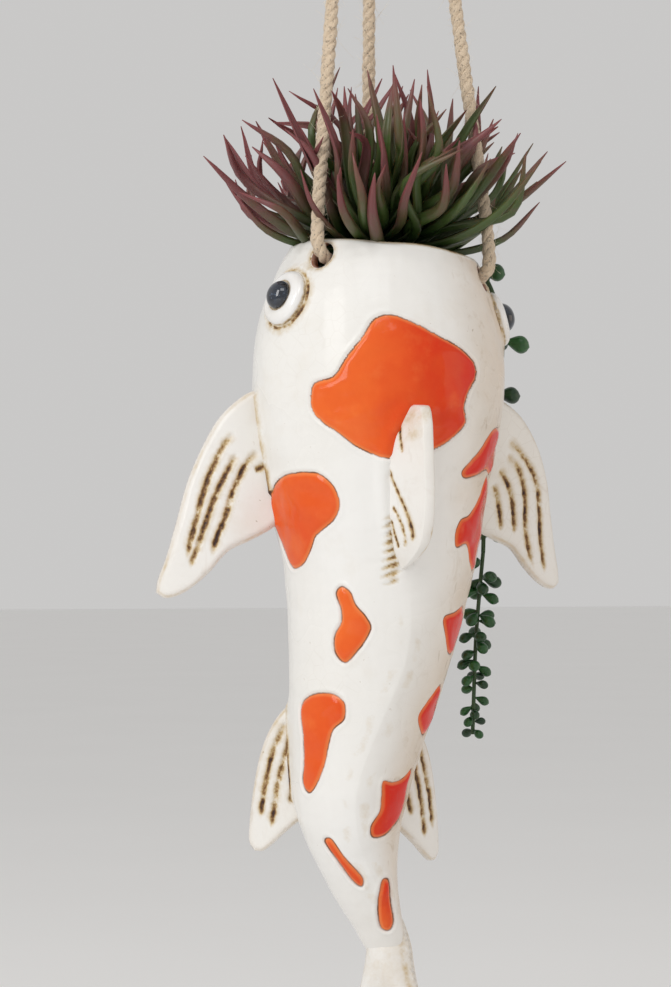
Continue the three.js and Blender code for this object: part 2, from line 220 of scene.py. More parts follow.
def spline(points, count, closed=False):
    """Evenly spaced points on the smooth curve through the given ones."""
    p = np.asarray(points, float)
    p = np.vstack([p[-1:], p, p[:2]]) if closed else np.vstack([2 * p[0] - p[1], p, 2 * p[-1] - p[-2]])
    knots = np.concatenate([[0], np.cumsum(np.sqrt(np.linalg.norm(np.diff(p, axis=0), axis=1)))])[:, None]
    pieces = []
    w = np.linspace(0, 1, 40, endpoint=False)[:, None]
    for i in range(len(p) - 3):
        a, b, c, d = p[i:i + 4]
        ka, kb, kc, kd = knots[i:i + 4]
        start = ((b - a) / (kb - ka) - (c - a) / (kc - ka) + (c - b) / (kc - kb)) * (kc - kb)
        stop = ((c - b) / (kc - kb) - (d - b) / (kd - kb) + (d - c) / (kd - kc)) * (kc - kb)
        pieces.append(b + start * w + (3 * (c - b) - 2 * start - stop) * w**2
                      + (2 * (b - c) + start + stop) * w**3)
    dense = np.vstack([*pieces, p[-2:-1] if not closed else pieces[0][:1]])
    run = run_along(dense)
    at = np.linspace(0, run[-1], count)
    return np.stack([np.interp(at, run, dense[:, k]) for k in range(dense.shape[1])], -1)


def length_of(line):
    return float(run_along(line)[-1])


def nearest(points, line):
    """Each point's distance to a line of points, and the nearest one's place on it."""
    distance = np.full(len(points), np.inf)
    place = np.zeros(len(points), int)
    for start in range(0, len(points), 20000):
        part = points[start:start + 20000]
        gaps = np.linalg.norm(part[:, None] - line[None], axis=2)
        place[start:start + 20000] = gaps.argmin(1)
        distance[start:start + 20000] = gaps.min(1)
    return distance, place


def inside(x, y, outline):
    """Which places lie in a closed outline."""
    found = np.zeros(len(x), bool)
    for (xa, ya), (xb, yb) in zip(outline, np.roll(outline, -1, axis=0)):
        if ya == yb:
            continue
        crosses = (ya > y) != (yb > y)
        found ^= crosses & (x < (xb - xa) * (y - ya) / (yb - ya) + xa)
    return found


def lumps(points, seed, size, count=10):
    """A smooth handmade unevenness from -1 to 1, about size across."""
    random = np.random.default_rng(seed)
    total = np.zeros(points.shape[:-1])
    for _ in range(count):
        direction = unit(random.normal(size=3)) * 2 * math.pi / (size * random.uniform(0.7, 1.6))
        total += np.sin(points @ direction + random.uniform(0, 6.28))
    return total / count**0.5 * 0.8


# ---------------------------------------------------------------- meshes


def grid_faces(rows, columns, wrap=True, first=0):
    """The faces of a grid of points, closed across its columns where it wraps."""
    i = np.arange(rows - 1)[:, None]
    j = np.arange(columns if wrap else columns - 1)[None, :]
    a, b = i * columns + j, i * columns + (j + 1) % columns
    return (np.stack([a, b, b + columns, a + columns], -1).reshape(-1, 4) + first).tolist()


def end_cap(ring, middle):
    """Triangles from a ring of points to one in its middle."""
    return [[ring[i], ring[(i + 1) % len(ring)], middle] for i in range(len(ring))]


def capped(points, columns, ends=None):
    """Rings of points joined to one closed form, whose end points are given or stand amid the end rings."""
    count, last = len(points), len(points) - columns
    if ends is None:
        ends = [points[:columns].mean(0), points[last:].mean(0)]
    faces = grid_faces(count // columns, columns)
    faces += end_cap(range(columns), count) + end_cap(range(last, count), count + 1)
    return np.vstack([points, *ends]), faces


def make_mesh(name, points, faces, origin=RIM_AT, attributes=None, uv=None):
    """A smooth mesh from points in millimetres, with outward faces and named values at its points."""
    mesh = bpy.data.meshes.new(name)
    mesh.from_pydata(((np.asarray(points) + origin) * MM).tolist(), [], faces)
    for key, values in (attributes or {}).items():
        mesh.attributes.new(key, "FLOAT", "POINT").data.foreach_set("value", np.asarray(values, np.float32))
    work = bmesh.new()
    work.from_mesh(mesh)
    bmesh.ops.recalc_face_normals(work, faces=work.faces)
    work.to_mesh(mesh)
    work.free()
    mesh.shade_smooth()
    if uv is not None:
        corners = np.zeros(len(mesh.loops), np.int32)
        mesh.loops.foreach_get("vertex_index", corners)
        layer = mesh.uv_layers.new(name="UVMap")
        layer.data.foreach_set("uv", np.asarray(uv, np.float32)[corners].ravel())
    return mesh


def place(name, mesh, material, slot, body, node=None):
    """A piece that rides on a body, has its material in a slot, and may stand for a CAD node; the slot
    argument is not used.
    """
    obj = bpy.data.objects.new(name, mesh)
    bpy.context.scene.collection.objects.link(obj)
    mesh.materials.append(material)
    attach(obj, body)
    if node:
        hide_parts(node)
    return obj


def frames_along(line):
    """Tangents and two steady cross directions at each point of a line."""
    tangents = unit(np.gradient(line, axis=0))
    side = unit(np.cross(tangents[0], [0.3, 1.0, 0.1]))
    sides = []
    for tangent in tangents:
        side = unit(side - tangent * (side @ tangent))
        sides.append(side)
    sides = np.array(sides)
    return tangents, sides, np.cross(tangents, sides)


def circle(side, up, count):
    """Steps round a circle that two cross directions span, and their angles."""
    angles = np.arange(count) * 2 * math.pi / count
    return side[..., None, :] * np.cos(angles)[:, None] + up[..., None, :] * np.sin(angles)[:, None], angles


class Builder:
    """Collects many small parts into one mesh."""

    def __init__(self):
        self.points, self.faces, self.values, self.uv, self.count = [], [], {}, [], 0

    def add(self, points, faces, uv=None, **values):
        self.points.append(points)
        self.faces += [[v + self.count for v in face] for face in faces]
        if uv is not None:
            self.uv.append(uv)
        for key, value in values.items():
            self.values.setdefault(key, []).append(np.broadcast_to(np.asarray(value, float), len(points)))
        self.count += len(points)

    def mesh(self, name, origin=RIM_AT):
        values = {key: np.concatenate(parts) for key, parts in self.values.items()}
        uv = np.vstack(self.uv) if self.uv else None
        return make_mesh(name, np.vstack(self.points), self.faces, origin, values, uv)

    def place(self, name, *details, origin=RIM_AT):
        return place(name, self.mesh(name, origin), *details)


def tube(builder, line, radius, sides=8, **values):
    """A closed round tube along a line, with a radius or one for each of its points."""
    _, side, up = frames_along(line)
    radius = np.broadcast_to(np.asarray(radius, float), len(line))
    ring, angles = circle(side, up, sides)
    points = (line[:, None] + ring * radius[:, None, None]).reshape(-1, 3)
    points, faces = capped(points, sides, line[[0, -1]])
    run = run_along(line)
    round_length = 2 * math.pi * max(radius.mean(), 0.1)
    uv = np.stack(np.meshgrid(angles / (2 * math.pi) * round_length, run), -1).reshape(-1, 2) * 0.1
    ends = [[0, 0], [0, run[-1] * 0.1]]
    builder.add(points, faces, np.vstack([uv, ends]), **values)


# ---------------------------------------------------------------- camera and ropes

CAMERA_AZIMUTH = -21
CAMERA_DISTANCE = 1050
CAMERA_ASIDE = -19.1  # how far the camera stands to the left of the fish
CAMERA_HEIGHT = -138  # from the rim
AIM_HEIGHT = -103
LENS = 89.1


def make_camera():
    data = bpy.data.cameras.new("camera")
    data.lens = LENS
    data.sensor_width = 36
    camera = bpy.data.objects.new("camera", data)
    bpy.context.scene.collection.objects.link(camera)
    back = outward(CAMERA_AZIMUTH)
    aside = around(CAMERA_AZIMUTH) * CAMERA_ASIDE
    eye = RIM_AT + back * CAMERA_DISTANCE + aside + np.array([0, 0, CAMERA_HEIGHT])
    aim = RIM_AT + aside + np.array([0, 0, AIM_HEIGHT])
    camera.location = Vector(eye * MM)
    camera.rotation_euler = Vector((aim - eye).tolist()).to_track_quat("-Z", "Y").to_euler()
    bpy.context.scene.camera = camera


make_camera()


class Nodes:
    """A short way to write a material's nodes."""

    def __init__(self, name):
        self.material = bpy.data.materials.new(name)
        self.material.use_nodes = True
        self.tree = self.material.node_tree
        self.shader = self.tree.nodes["Principled BSDF"]

    def node(self, kind, inputs=None, **settings):
        node = self.tree.nodes.new(kind)
        for key, value in settings.items():
            setattr(node, key, value)
        for key, value in (inputs or {}).items():
            self.feed(node.inputs[key], value)
        return node

    def feed(self, socket, value):
        if isinstance(value, bpy.types.NodeSocket):
            self.tree.links.new(value, socket)
        elif isinstance(value, tuple) and len(value) == 3 and socket.type == "RGBA":
            socket.default_value = (*value, 1)
        else:
            socket.default_value = value

    def set(self, **values):
        for key, value in values.items():
            self.feed(self.shader.inputs[key.replace("_", " ")], value)

    def value(self, name):
        return self.node("ShaderNodeAttribute", attribute_name=name).outputs["Fac"]

    def math(self, operation, a, b=0.0):
        return self.node("ShaderNodeMath", {0: a, 1: b}, operation=operation).outputs[0]

    def times(self, a, b):
        return self.math("MULTIPLY", a, b)

    def plus(self, a, b):
        return self.math("ADD", a, b)

    def minus(self, a, b):
        return self.math("SUBTRACT", a, b)

    def mix(self, share, a, b):
        node = self.node("ShaderNodeMix", data_type="RGBA")
        self.feed(node.inputs["Factor"], share)
        self.feed(node.inputs[6], a)
        self.feed(node.inputs[7], b)
        return node.outputs[2]

    def ramp(self, value, low, high, to_low=0.0, to_high=1.0):
        node = self.node("ShaderNodeMapRange", {"Value": value, "From Min": low, "From Max": high,
                                                "To Min": to_low, "To Max": to_high})
        return node.outputs["Result"]

    def coordinates(self, scale=(1, 1, 1), rotation=(0, 0, 0), output="Object"):
        source = self.node("ShaderNodeTexCoord").outputs[output]
        return self.node("ShaderNodeMapping", {"Vector": source, "Scale": scale,
                                               "Rotation": rotation}).outputs[0]

    def noise(self, scale, detail=3, roughness=0.5, vector=None, distortion=0):
        inputs = {"Scale": scale, "Detail": detail, "Roughness": roughness, "Distortion": distortion,
                  "Vector": vector if vector is not None else self.coordinates()}
        return self.node("ShaderNodeTexNoise", inputs).outputs["Fac"]

    def bump(self, height, distance, strength=1.0):
        node = self.node("ShaderNodeBump", {"Height": height, "Distance": distance, "Strength": strength})
        self.feed(self.shader.inputs["Normal"], node.outputs[0])


def jute_material():
    n = Nodes("jute_twist")
    fibres = n.noise(9, 6, 0.7, n.coordinates((7, 0.9, 1), (0, 0, 0.45), "UV"), 0.4)
    fine = n.noise(26, 5, 0.75, n.coordinates((6, 0.8, 1), (0, 0, 0.35), "UV"))
    patchy = n.noise(140, 3, 0.6)
    specks = n.ramp(n.noise(800, 3, 0.7), 0.55, 0.66)
    straw = n.mix(n.ramp(fibres, 0.3, 0.72), (0.66, 0.49, 0.325), (0.98, 0.83, 0.64))
    straw = n.mix(n.ramp(patchy, 0.35, 0.7, 0, 0.55), straw, (0.84, 0.67, 0.48))
    straw = n.mix(n.ramp(fine, 0.25, 0.42, 0.5, 0), straw, (0.32, 0.215, 0.125))
    straw = n.mix(n.times(specks, 0.65), straw, (0.10, 0.065, 0.04))
    # painted shade in the crevices between the strands
    crevice = n.ramp(n.value("crevice"), 0, 1, 0, 0.8)
    n.set(Base_Color=n.mix(crevice, straw, (0.34, 0.235, 0.145)))
    n.set(Roughness=n.ramp(fibres, 0, 1, 0.75, 0.95), Sheen_Weight=0.25, Sheen_Roughness=0.5)
    n.bump(n.plus(fibres, n.times(fine, 0.6)), 0.0007, 0.8)
    return n.material


def fuzz_material():
    n = Nodes("jute_fuzz")
    tone = n.noise(300, 2)
    n.set(Base_Color=n.mix(n.ramp(tone, 0.3, 0.7), (0.72, 0.58, 0.40), (0.94, 0.86, 0.70)))
    n.set(Roughness=n.ramp(tone, 0, 1, 0.65, 0.85), Sheen_Weight=0.2)
    return n.material


JUTE = jute_material()
FUZZ = fuzz_material()


def lay_rope(builder, route, diameter=ROPE, lay=ROPE_LAY):
    """Three strands twisted about a route."""
    count = max(int(length_of(route) / ROPE_STEP), 24)
    line = spline(route, count)
    _, side, up = frames_along(line)
    run = np.linspace(0, length_of(line), count)
    uneven = 1 + 0.05 * np.sin(run / 7.3) + 0.04 * np.sin(run / 2.9 + 1)
    radius = PLY_RADIUS * diameter
    for ply in range(3):
        turn = 2 * math.pi * (run / lay + ply / 3)
        offset = (side * np.cos(turn)[:, None] + up * np.sin(turn)[:, None]) * PLY_OFFSET * diameter
        middle = line + offset
        _, ply_side, ply_up = frames_along(middle)
        ring, angles = circle(ply_side, ply_up, PLY_SIDES)
        yarns = 1 + 0.05 * np.sin(4 * angles[None] - 2 * math.pi * run[:, None] / 6 + ply)
        points = middle[:, None] + ring * (radius * uneven[:, None] * yarns)[..., None]
        near = np.linalg.norm(points - line[:, None], axis=2) / diameter
        # painted shade where a strand's surface turns in towards the rope's middle
        crevice = smooth((0.40 - near) / 0.16)
        flat, faces = capped(points.reshape(-1, 3), PLY_SIDES, middle[[0, -1]])
        width = 2 * math.pi * radius
        uv = np.stack(np.meshgrid(angles / (2 * math.pi) * width, run), -1).reshape(-1, 2) * 0.1 + ply * 0.37
        builder.add(flat, faces, np.vstack([uv, uv[0], uv[-1]]),
                    crevice=np.concatenate([crevice.ravel(), [0, 0]]))
    return line


def add_fuzz(builder, line, per_millimetre, seed, radius=ROPE / 2, longest=7):
    """Stray fibres that leave a rope's surface and curl."""
    random = np.random.default_rng(seed)
    tangents, side, up = frames_along(line)
    for _ in range(int(length_of(line) * per_millimetre)):
        i = random.integers(2, len(line) - 2)
        turn = random.uniform(0, 2 * math.pi)
        out = side[i] * math.cos(turn) + up[i] * math.sin(turn)
        along = tangents[i] * random.choice([-1, 1])
        size = random.uniform(1.2, 3) + longest * random.random() ** 5
        curl = unit(random.normal(size=3))
        s = np.linspace(0, 1, 7)[:, None]
        hair = line[i] + out * (radius * 0.85) + size * (along * s * 0.75 + out * s**1.5 * 0.5
                                                       + curl * s**2 * 0.35)
        tube(builder, hair, HAIR * (1 - 0.55 * s[:, 0]), 3)


def place_rope(name, threads, hairs, body, node):
    """The two pieces of a length of rope, measured from the hook."""
    hook = np.zeros(3)
    rope = threads.place(f"{name}_twist", JUTE, "jute", body, node, origin=hook)
    return rope, hairs.place(f"{name}_fuzz", FUZZ, "jute", body, origin=hook)


def rope_route(azimuth):
    """A rope's route from its stopper knot to the gather knot, measured from the hook."""
    hole = skin(HOLE_DROP, azimuth) + RIM_AT
    out, up = outward(azimuth), UP
    low = [hole + out * across + up * height for across, height in ROPE_ROUTE]
    top = out * ROPE_SPREAD + up * (PIVOT - 7.5)
    rise = [low[-1] + (top - low[-1]) * share for share in (0.25, 0.5, 0.75)]
    return np.array([*low, *rise, top])


def make_rope(name, azimuth, seed):
    """One of the three ropes that carry the fish."""
    route = rope_route(azimuth)
    threads, hairs = Builder(), Builder()
    line = lay_rope(threads, route)
    add_fuzz(hairs, line[16:], 2.4, seed, longest=10)
    rope, fuzz = place_rope(f"{name}_rope", threads, hairs, "planter", f"{name}_rope")
    path = spline(route, 120)


def trefoil(middle, size, axis=(0, 0, 1)):
    """The route of a simple tight knot about a middle."""
    t = np.linspace(0.25, 2 * math.pi - 0.05, 60)
    flat = np.stack([np.sin(t) + 2 * np.sin(2 * t), np.cos(t) - 2 * np.cos(2 * t), -1.3 * np.sin(3 * t)], -1)
    forward = unit(np.asarray(axis, float))
    side = unit(np.cross(forward, [0.2, 0.9, 0.3]))
    up = np.cross(forward, side)
    return middle + size * (flat[:, :1] * side + flat[:, 1:2] * up + flat[:, 2:] * forward)


def make_stopper(name, azimuth, seed):
    """The knot inside the mouth that holds a rope in its hole."""
    end, after = rope_route(azimuth)[:2]
    inward = unit(end - after)
    threads, hairs = Builder(), Builder()
    line = lay_rope(threads, trefoil(end + inward * 6.4, 1.32, inward), ROPE * 0.86, 12)
    tail = [end + inward * 6, end + inward * 10 + [1, 1, -2], end + inward * 12 + [2, 1, -7]]
    lay_rope(threads, np.array(tail), ROPE * 0.8, 12)
    add_fuzz(hairs, line, 1.2, seed)
    place_rope(f"{name}_stopper", threads, hairs, "planter", f"{name}_stopper_knot")


def make_gather_knot():
    """The wrapped knot that gathers the ropes, with the four ropes that run through it."""
    threads, hairs = Builder(), Builder()
    turns = np.linspace(0, 1, 140)
    angle = turns * 2 * math.pi * 3.25
    wrap = np.stack([8.6 * np.cos(angle), 8.6 * np.sin(angle), -53.6 + turns * 13.2], -1)
    line = lay_rope(threads, wrap, 5.6, 15)
    add_fuzz(hairs, line, 1.4, 41)
    for x in (-3.1, 3.1):
        lay_rope(threads, np.array([[x, 0.6, -56.6], [x, -0.6, -48], [x, 0, -38]]), 5.8)
    for y, foot in ((1, -56.6), (-1, -56.4)):
        lay_rope(threads, np.array([[0, 4.6 * y, foot], [0.3, 4.2 * y, -48], [0, 4.4 * y, -38.6]]), 5.2)
    place_rope("gather_knot", threads, hairs, "knot", "gather_knot")


def make_bundle():
    """The tangle just under the gather knot, where the three ropes meet."""
    threads, hairs = Builder(), Builder()
    line = lay_rope(threads, trefoil(PIVOT * UP, 1.3), ROPE * 0.9, 12)
    add_fuzz(hairs, line, 1.2, 42)
    place_rope("rope_bundle", threads, hairs, "neck", "rope_bundle")


def make_loop():
    """The bight over the gather knot that goes over a hook."""
    threads, hairs = Builder(), Builder()
    side = [(3.7, -37), (6.6, -28), (9.6, -16), (8.2, -4)]
    loop = [(-x, 0, z) for x, z in side] + [(0, 0, ROPE / 2)] + [(x, 0, z) for x, z in reversed(side)]
    line = lay_rope(threads, np.array(loop, float))
    add_fuzz(hairs, line, 1.4, 43)
    place_rope("hanging_loop", threads, hairs, "loop", "hanging_loop")


for number, (rope_name, rope_azimuth) in enumerate(ROPE_AZIMUTHS.items()):
    make_rope(rope_name, rope_azimuth, number + 1)
    make_stopper(rope_name, rope_azimuth, number + 21)
make_gather_knot()
make_bundle()
make_loop()

# ---------------------------------------------------------------- ceramic materials


def white_glaze(n, broad, clouds):
    """The worn cream-white glaze's colour, with painted warm shade on its right side, and the scratches in
    it.
    """
    white = n.mix(n.ramp(broad, 0.35, 0.7), (0.85, 0.84, 0.815), (0.80, 0.78, 0.735))
    white = n.mix(n.ramp(clouds, 0.56, 0.8, 0, 0.4), white, (0.72, 0.66, 0.56))
    # painted shade and warm reflected light: a darker tan mixed in on the right side
    warm = n.times(n.value("warm"), n.ramp(clouds, 0.25, 0.7, 0.45, 1))
    cream = n.mix(n.ramp(n.noise(22, 4, 0.6), 0.35, 0.65), (0.70, 0.555, 0.415), (0.60, 0.475, 0.345))
    white = n.mix(warm, white, cream)
    # patchy brown darkening on the right side, and a few brown scratches there
    right_side_blotches = n.times(n.ramp(n.noise(75, 6, 0.72, distortion=0.6), 0.55, 0.72), n.value("warm"))
    white = n.mix(n.times(right_side_blotches, 0.75), white, (0.44, 0.33, 0.20))
    scratches = n.ramp(n.noise(60, 3, 0.5, n.coordinates((5, 5, 1), (0.3, 0.2, 0)), 0.5), 0.66, 0.70)
    scratches = n.times(scratches, n.times(n.value("warm"), 0.6))
    white = n.mix(scratches, white, (0.42, 0.33, 0.23))
    # faint crazing, in some places only
    cells = n.node("ShaderNodeTexVoronoi", {"Scale": 150, "Vector": n.coordinates()},
                   feature="DISTANCE_TO_EDGE").outputs["Distance"]
    cracks = n.times(n.ramp(cells, 0.0, 0.035, 1, 0), n.ramp(broad, 0.5, 0.66, 0, 0.16))
    white = n.mix(cracks, white, (0.42, 0.34, 0.24))
    # small iron specks
    specks = n.times(n.ramp(n.noise(330, 2, 0.5), 0.735, 0.77), n.ramp(clouds, 0.45, 0.6, 0, 0.6))
    white = n.mix(specks, white, (0.33, 0.23, 0.13))
    return white, scratches


def add_wash_and_shadow(n, white, grain):
    """The brown wash in the hollows, and the painted shadow under the paired fins that rides on its values;
    both break up into grains as they thin.
    """
    breaking = n.plus(n.times(n.ramp(grain, 0.3, 0.7), 0.55),
                      n.times(n.ramp(n.noise(120, 3, 0.6), 0.3, 0.7), 0.75))
    wash = n.times(n.value("stain"), breaking)
    tinted = n.mix(n.ramp(wash, 0.05, 0.42), white, (0.56, 0.42, 0.22))
    tinted = n.mix(n.ramp(wash, 0.36, 0.66), tinted, (0.23, 0.115, 0.04))
    return n.mix(n.ramp(wash, 0.62, 0.95), tinted, (0.05, 0.026, 0.022)), wash


def add_patches(n, tinted, wash, clouds, grain):
    """Orange glaze in the patches, inside a brown line."""
    edge = n.plus(n.value("patch"), n.ramp(grain, 0, 1, -0.18, 0.18))
    fill = n.ramp(edge, -0.15, 0.2, 1, 0)
    tone = n.plus(n.value("tone"), n.ramp(clouds, 0.3, 0.7, -0.17, 0.17))
    orange = n.mix(n.ramp(tone, 0.1, 0.9), (0.83, 0.145, 0.024), (0.66, 0.014, 0.001))
    orange = n.mix(n.ramp(edge, -1.7, -0.5, 0, 0.6), orange, (0.90, 0.28, 0.085))
    orange = n.mix(n.ramp(n.noise(60, 4, 0.6), 0.55, 0.75, 0, 0.3), orange, (0.88, 0.24, 0.06))
    line = n.ramp(n.math("ABSOLUTE", n.plus(edge, -0.1)), 0.14, 0.5, 1, 0)
    line = n.times(line, n.ramp(n.noise(90, 3), 0.35, 0.6, 0.35, 0.95))
    tinted = n.mix(fill, tinted, orange)
    tinted = n.mix(line, tinted, (0.17, 0.062, 0.018))
    return n.mix(n.ramp(wash, 0.75, 1.1), tinted, (0.075, 0.034, 0.02)), fill


def glaze_material(name, patches):
    """Cream-white glaze with a brown wash in its hollows, and orange glaze in the patches."""
    n = Nodes(name)
    broad = n.noise(9, 4, 0.55)
    clouds = n.noise(34, 5, 0.6)
    grain = n.noise(420, 4, 0.65)
    white, scratches = white_glaze(n, broad, clouds)
    colour, wash = add_wash_and_shadow(n, white, grain)
    roughness = n.plus(n.ramp(broad, 0.3, 0.7, 0.2, 0.34), n.ramp(wash, 0.1, 0.7, 0, 0.25))
    height = n.plus(n.times(clouds, 0.8), n.times(grain, 0.06))
    height = n.minus(n.minus(height, n.times(wash, 0.25)), n.times(scratches, 0.3))
    if patches:
        colour, fill = add_patches(n, colour, wash, clouds, grain)
        roughness = n.plus(n.times(roughness, n.ramp(fill, 0, 1, 1, 0)),
                           n.times(fill, n.ramp(clouds, 0.3, 0.7, 0.07, 0.15)))
        waves = n.noise(42, 2, 0.5, distortion=1.2)
        height = n.plus(height, n.times(fill, n.times(waves, 1.6)))
    n.set(Base_Color=colour, Roughness=roughness)
    n.set(Coat_Weight=0.08, Coat_Roughness=0.06, Specular_IOR_Level=0.2)
    n.bump(height, 0.0009, 0.45)
    return n.material


def eye_material():
    n = Nodes("eye_white_glaze")
    clouds = n.noise(60, 4, 0.6)
    grain = n.noise(500, 3, 0.6)
    white = n.mix(n.ramp(clouds, 0.35, 0.7), (0.87, 0.86, 0.85), (0.78, 0.75, 0.70))
    wash = n.times(n.value("stain"), n.ramp(grain, 0.25, 0.65, 0.3, 1.1))
    white = n.mix(n.ramp(wash, 0.1, 0.6), white, (0.52, 0.38, 0.2))
    white = n.mix(n.ramp(wash, 0.55, 0.95), white, (0.08, 0.045, 0.03))
    n.set(Base_Color=white, Roughness=n.ramp(clouds, 0.3, 0.7, 0.12, 0.24))
    n.set(Coat_Weight=0.4, Coat_Roughness=0.08)
    n.bump(clouds, 0.0005, 0.4)
    return n.material


def pupil_material():
    n = Nodes("pupil_glaze")
    cells = n.node("ShaderNodeTexVoronoi", {"Scale": 900, "Vector": n.coordinates()}).outputs["Distance"]
    flecks = n.times(n.ramp(cells, 0.05, 0.28, 1, 0), n.ramp(n.noise(260, 3), 0.46, 0.62))
    deep = n.mix(n.ramp(n.noise(180, 3), 0.4, 0.7), (0.006, 0.007, 0.010), (0.022, 0.034, 0.06))
    n.set(Base_Color=n.mix(flecks, deep, (0.16, 0.22, 0.32)), Coat_Weight=0.6, Coat_Roughness=0.03)
    n.set(Roughness=n.ramp(flecks, 0, 1, 0.06, 0.2))
    return n.material


BODY_GLAZE = glaze_material("koi_body_glaze", True)
FIN_GLAZE = glaze_material("koi_fin_glaze", False)
EYE_GLAZE = eye_material()
PUPIL_GLAZE = pupil_material()

# ---------------------------------------------------------------- the body

LIP = 2.2  # the rounding of the rim
# A paired fin's root: its azimuth, the drops that it spans, its half thickness, the drop near which the
# painted shadow under the fin's lower end is darkest, and the sideways shift of its plane.
FIN_ROOTS = [(-96, 62, 116, 2.8, 100, 0), (96, 62, 116, 2.8, 100, 0),
             (-118, 194, 234, 2.4, 218, -11.5), (102, 200, 240, 2.4, 224, -11.5)]


def eye_frame(side):
    """An eye's middle on the skin and the way it faces."""
    azimuth = side * EYE_AZIMUTH
    slope = skin(EYE_DROP - 4, azimuth) - skin(EYE_DROP + 4, azimuth)
    return skin(EYE_DROP, azimuth), -unit(np.cross(slope, around(azimuth)))


def patch_values(points, drop, azimuth):
    """The signed distance to the nearest patch's edge, below zero inside, and its tone."""
    distance = np.full(len(points), 30.0)
    tone = np.zeros(len(points))
    for index, outline in enumerate(PATCHES.values()):
        edge = spline(outline, 240, closed=True)[:-1]
        turned = (azimuth - edge[:, 0].mean() + 180) % 360 - 180 + edge[:, 0].mean()
        near = (turned > edge[:, 0].min() - 14) & (turned < edge[:, 0].max() + 14)
        near &= (drop > edge[:, 1].min() - 8) & (drop < edge[:, 1].max() + 8)
        rows = np.flatnonzero(near)
        gap, _ = nearest(points[rows], skin(edge[:, 1], edge[:, 0]))
        gap = np.where(inside(turned[rows], drop[rows], edge), -gap, gap)
        closer = gap < distance[rows]
        distance[rows[closer]] = gap[closer]
        hue = 0.12 + 0.88 * smooth((turned[rows] + 58) / 108) + 0.2 * (index % 2)
        tone[rows[closer]] = hue[closer]
    return distance, tone


def fin_root(points, azimuth, low, high, half):
    """How far points are from a fin's root: a distance beyond its faces, over the drops it spans."""
    aside = np.maximum(np.abs(points @ around(azimuth)) - half, 0)
    aside = np.where(points @ outward(azimuth) > 0, aside, 99)
    drop = -points[:, 2]
    beyond = np.maximum(low - drop, 0) + np.maximum(drop - high, 0)
    return np.hypot(aside, beyond)


def spine_relief(points):
    """The low crest down the back, and the stain that follows it."""
    spine = spline(SPINE, 160)
    gap, at = nearest(points, skin(spine[:, 0], spine[:, 1]))
    strength = smooth(at / 30) * smooth((160 - at) / 24)
    rise = strength * (0.55 * np.exp(-gap / 3.4) + 1.1 * bell(gap, 9))
    return rise, 0.16 * strength * bell(gap - 4, 2.6) * smooth(0.5 + lumps(points, 12, 14))


def dorsal_relief(points):
    """The clay drawn up to both faces of the dorsal fin."""
    form = spline(DORSAL, 120)
    rise = 0
    for edge, height in ((form[:, 1], 1.1), (form[:, 2] + 4.5, 0.9)):
        gap, at = nearest(points, skin(form[:, 0], edge))
        rise += height * bell(gap, 3.2) * smooth(at / 14) * smooth((119 - at) / 8)
    return rise, 0


def eye_relief(points):
    """The swelling and the groove round each eye."""
    rise = stain = 0
    for side in (-1, 1):
        away = np.linalg.norm(points - eye_frame(side)[0], axis=1)
        broken = smooth(0.75 + 0.6 * lumps(points, 13 + side, 9))
        rise += 1.5 * bell(away - 11, 4.5) - 1.1 * bell(away - 12.9, 0.9)
        stain += 1.15 * bell(away - 12.8, 0.7) * broken + 0.26 * bell(away - 14.2, 2.2)
    return rise, stain


def hole_relief(points):
    """The softened edges of the rope holes."""
    rise = stain = 0
    for azimuth in ROPE_AZIMUTHS.values():
        away = np.linalg.norm(points - skin(HOLE_DROP, azimuth), axis=1) - HOLE / 2
        rise -= 0.9 * bell(np.maximum(away, 0), 1.3)
        stain += 0.9 * bell(away, 0.9) + 0.22 * bell(away - 1.6, 1.4)
    return rise, stain


def root_relief(points, drop, patch):
    """The clay drawn up to the paired fins, a brown wash along their roots, and painted shadow under their
    lower ends.
    """
    rise = stain = 0
    for azimuth, low, high, half, dark, shift in FIN_ROOTS:
        away = fin_root(points - np.array([shift, 0, 0]), azimuth, low, high, half)
        rise += 1.5 * np.exp(-away / 2.2)
        # a brown wash along the root, turning into painted shadow under the fin's lower end
        stain += (0.22 + 0.75 * smooth((drop - dark + 12) / 14)) * bell(away, 1.5)
        stain += 0.15 * bell(away, 4) * smooth(patch / 2)
    return rise, stain


def comb_relief(points, drop, azimuth, patch):
    """The scratched ribs at the left foot of the dorsal fin."""
    comb = bell((azimuth + 16) * 0.8, 3.6) * smooth((drop - 110) / 8) * smooth((146 - drop) / 6)
    ribs = smooth(0.35 + np.sin(drop * 1.7 + azimuth * 0.5) + 0.5 * lumps(points, 14, 5))
    return -0.7 * comb * ribs, comb * (0.3 + 0.6 * ribs) * smooth(patch)


def body_relief(points, drop, azimuth):
    """How far the finished skin stands out from the plain one, and the values that its glaze needs."""
    patch, tone = patch_values(points, drop, azimuth)
    rise = 0.42 * lumps(points, 3, 46) + 0.13 * lumps(points, 4, 15) + 0.05 * lumps(points, 5, 6)
    # a patch is a pillow of glaze inside a groove
    rise += -0.75 * bell(patch, 0.75) + 0.28 * bell(patch - 1.5, 0.9)
    rise += 0.34 * smooth(-patch / 4) + 0.26 * lumps(points, 6, 11) * smooth(-patch / 2.5)
    stain = np.zeros(len(points))
    for relief in (spine_relief, dorsal_relief, eye_relief, hole_relief):
        more, wash = relief(points)
        rise += more
        stain += wash
    stain *= smooth(patch / 0.8 + 0.6)
    for more, wash in (root_relief(points, drop, patch), comb_relief(points, drop, azimuth, patch)):
        rise += more
        stain += wash
    # the body sinks into the tail's root
    rise -= 3.6 * smooth((drop - 288) / 16)
    stain += 0.25 * smooth((drop - 292) / 10)
    # painted shade and warm reflected light, strong on the right side and faint on the lower body
    warm = 0.9 * smooth((azimuth - 2) / 55) * smooth((150 - azimuth) / 30) + 0.1 * smooth((drop - 250) / 50)
    return rise, {"patch": patch, "tone": tone, "stain": np.clip(stain, 0, 1.1), "warm": warm}


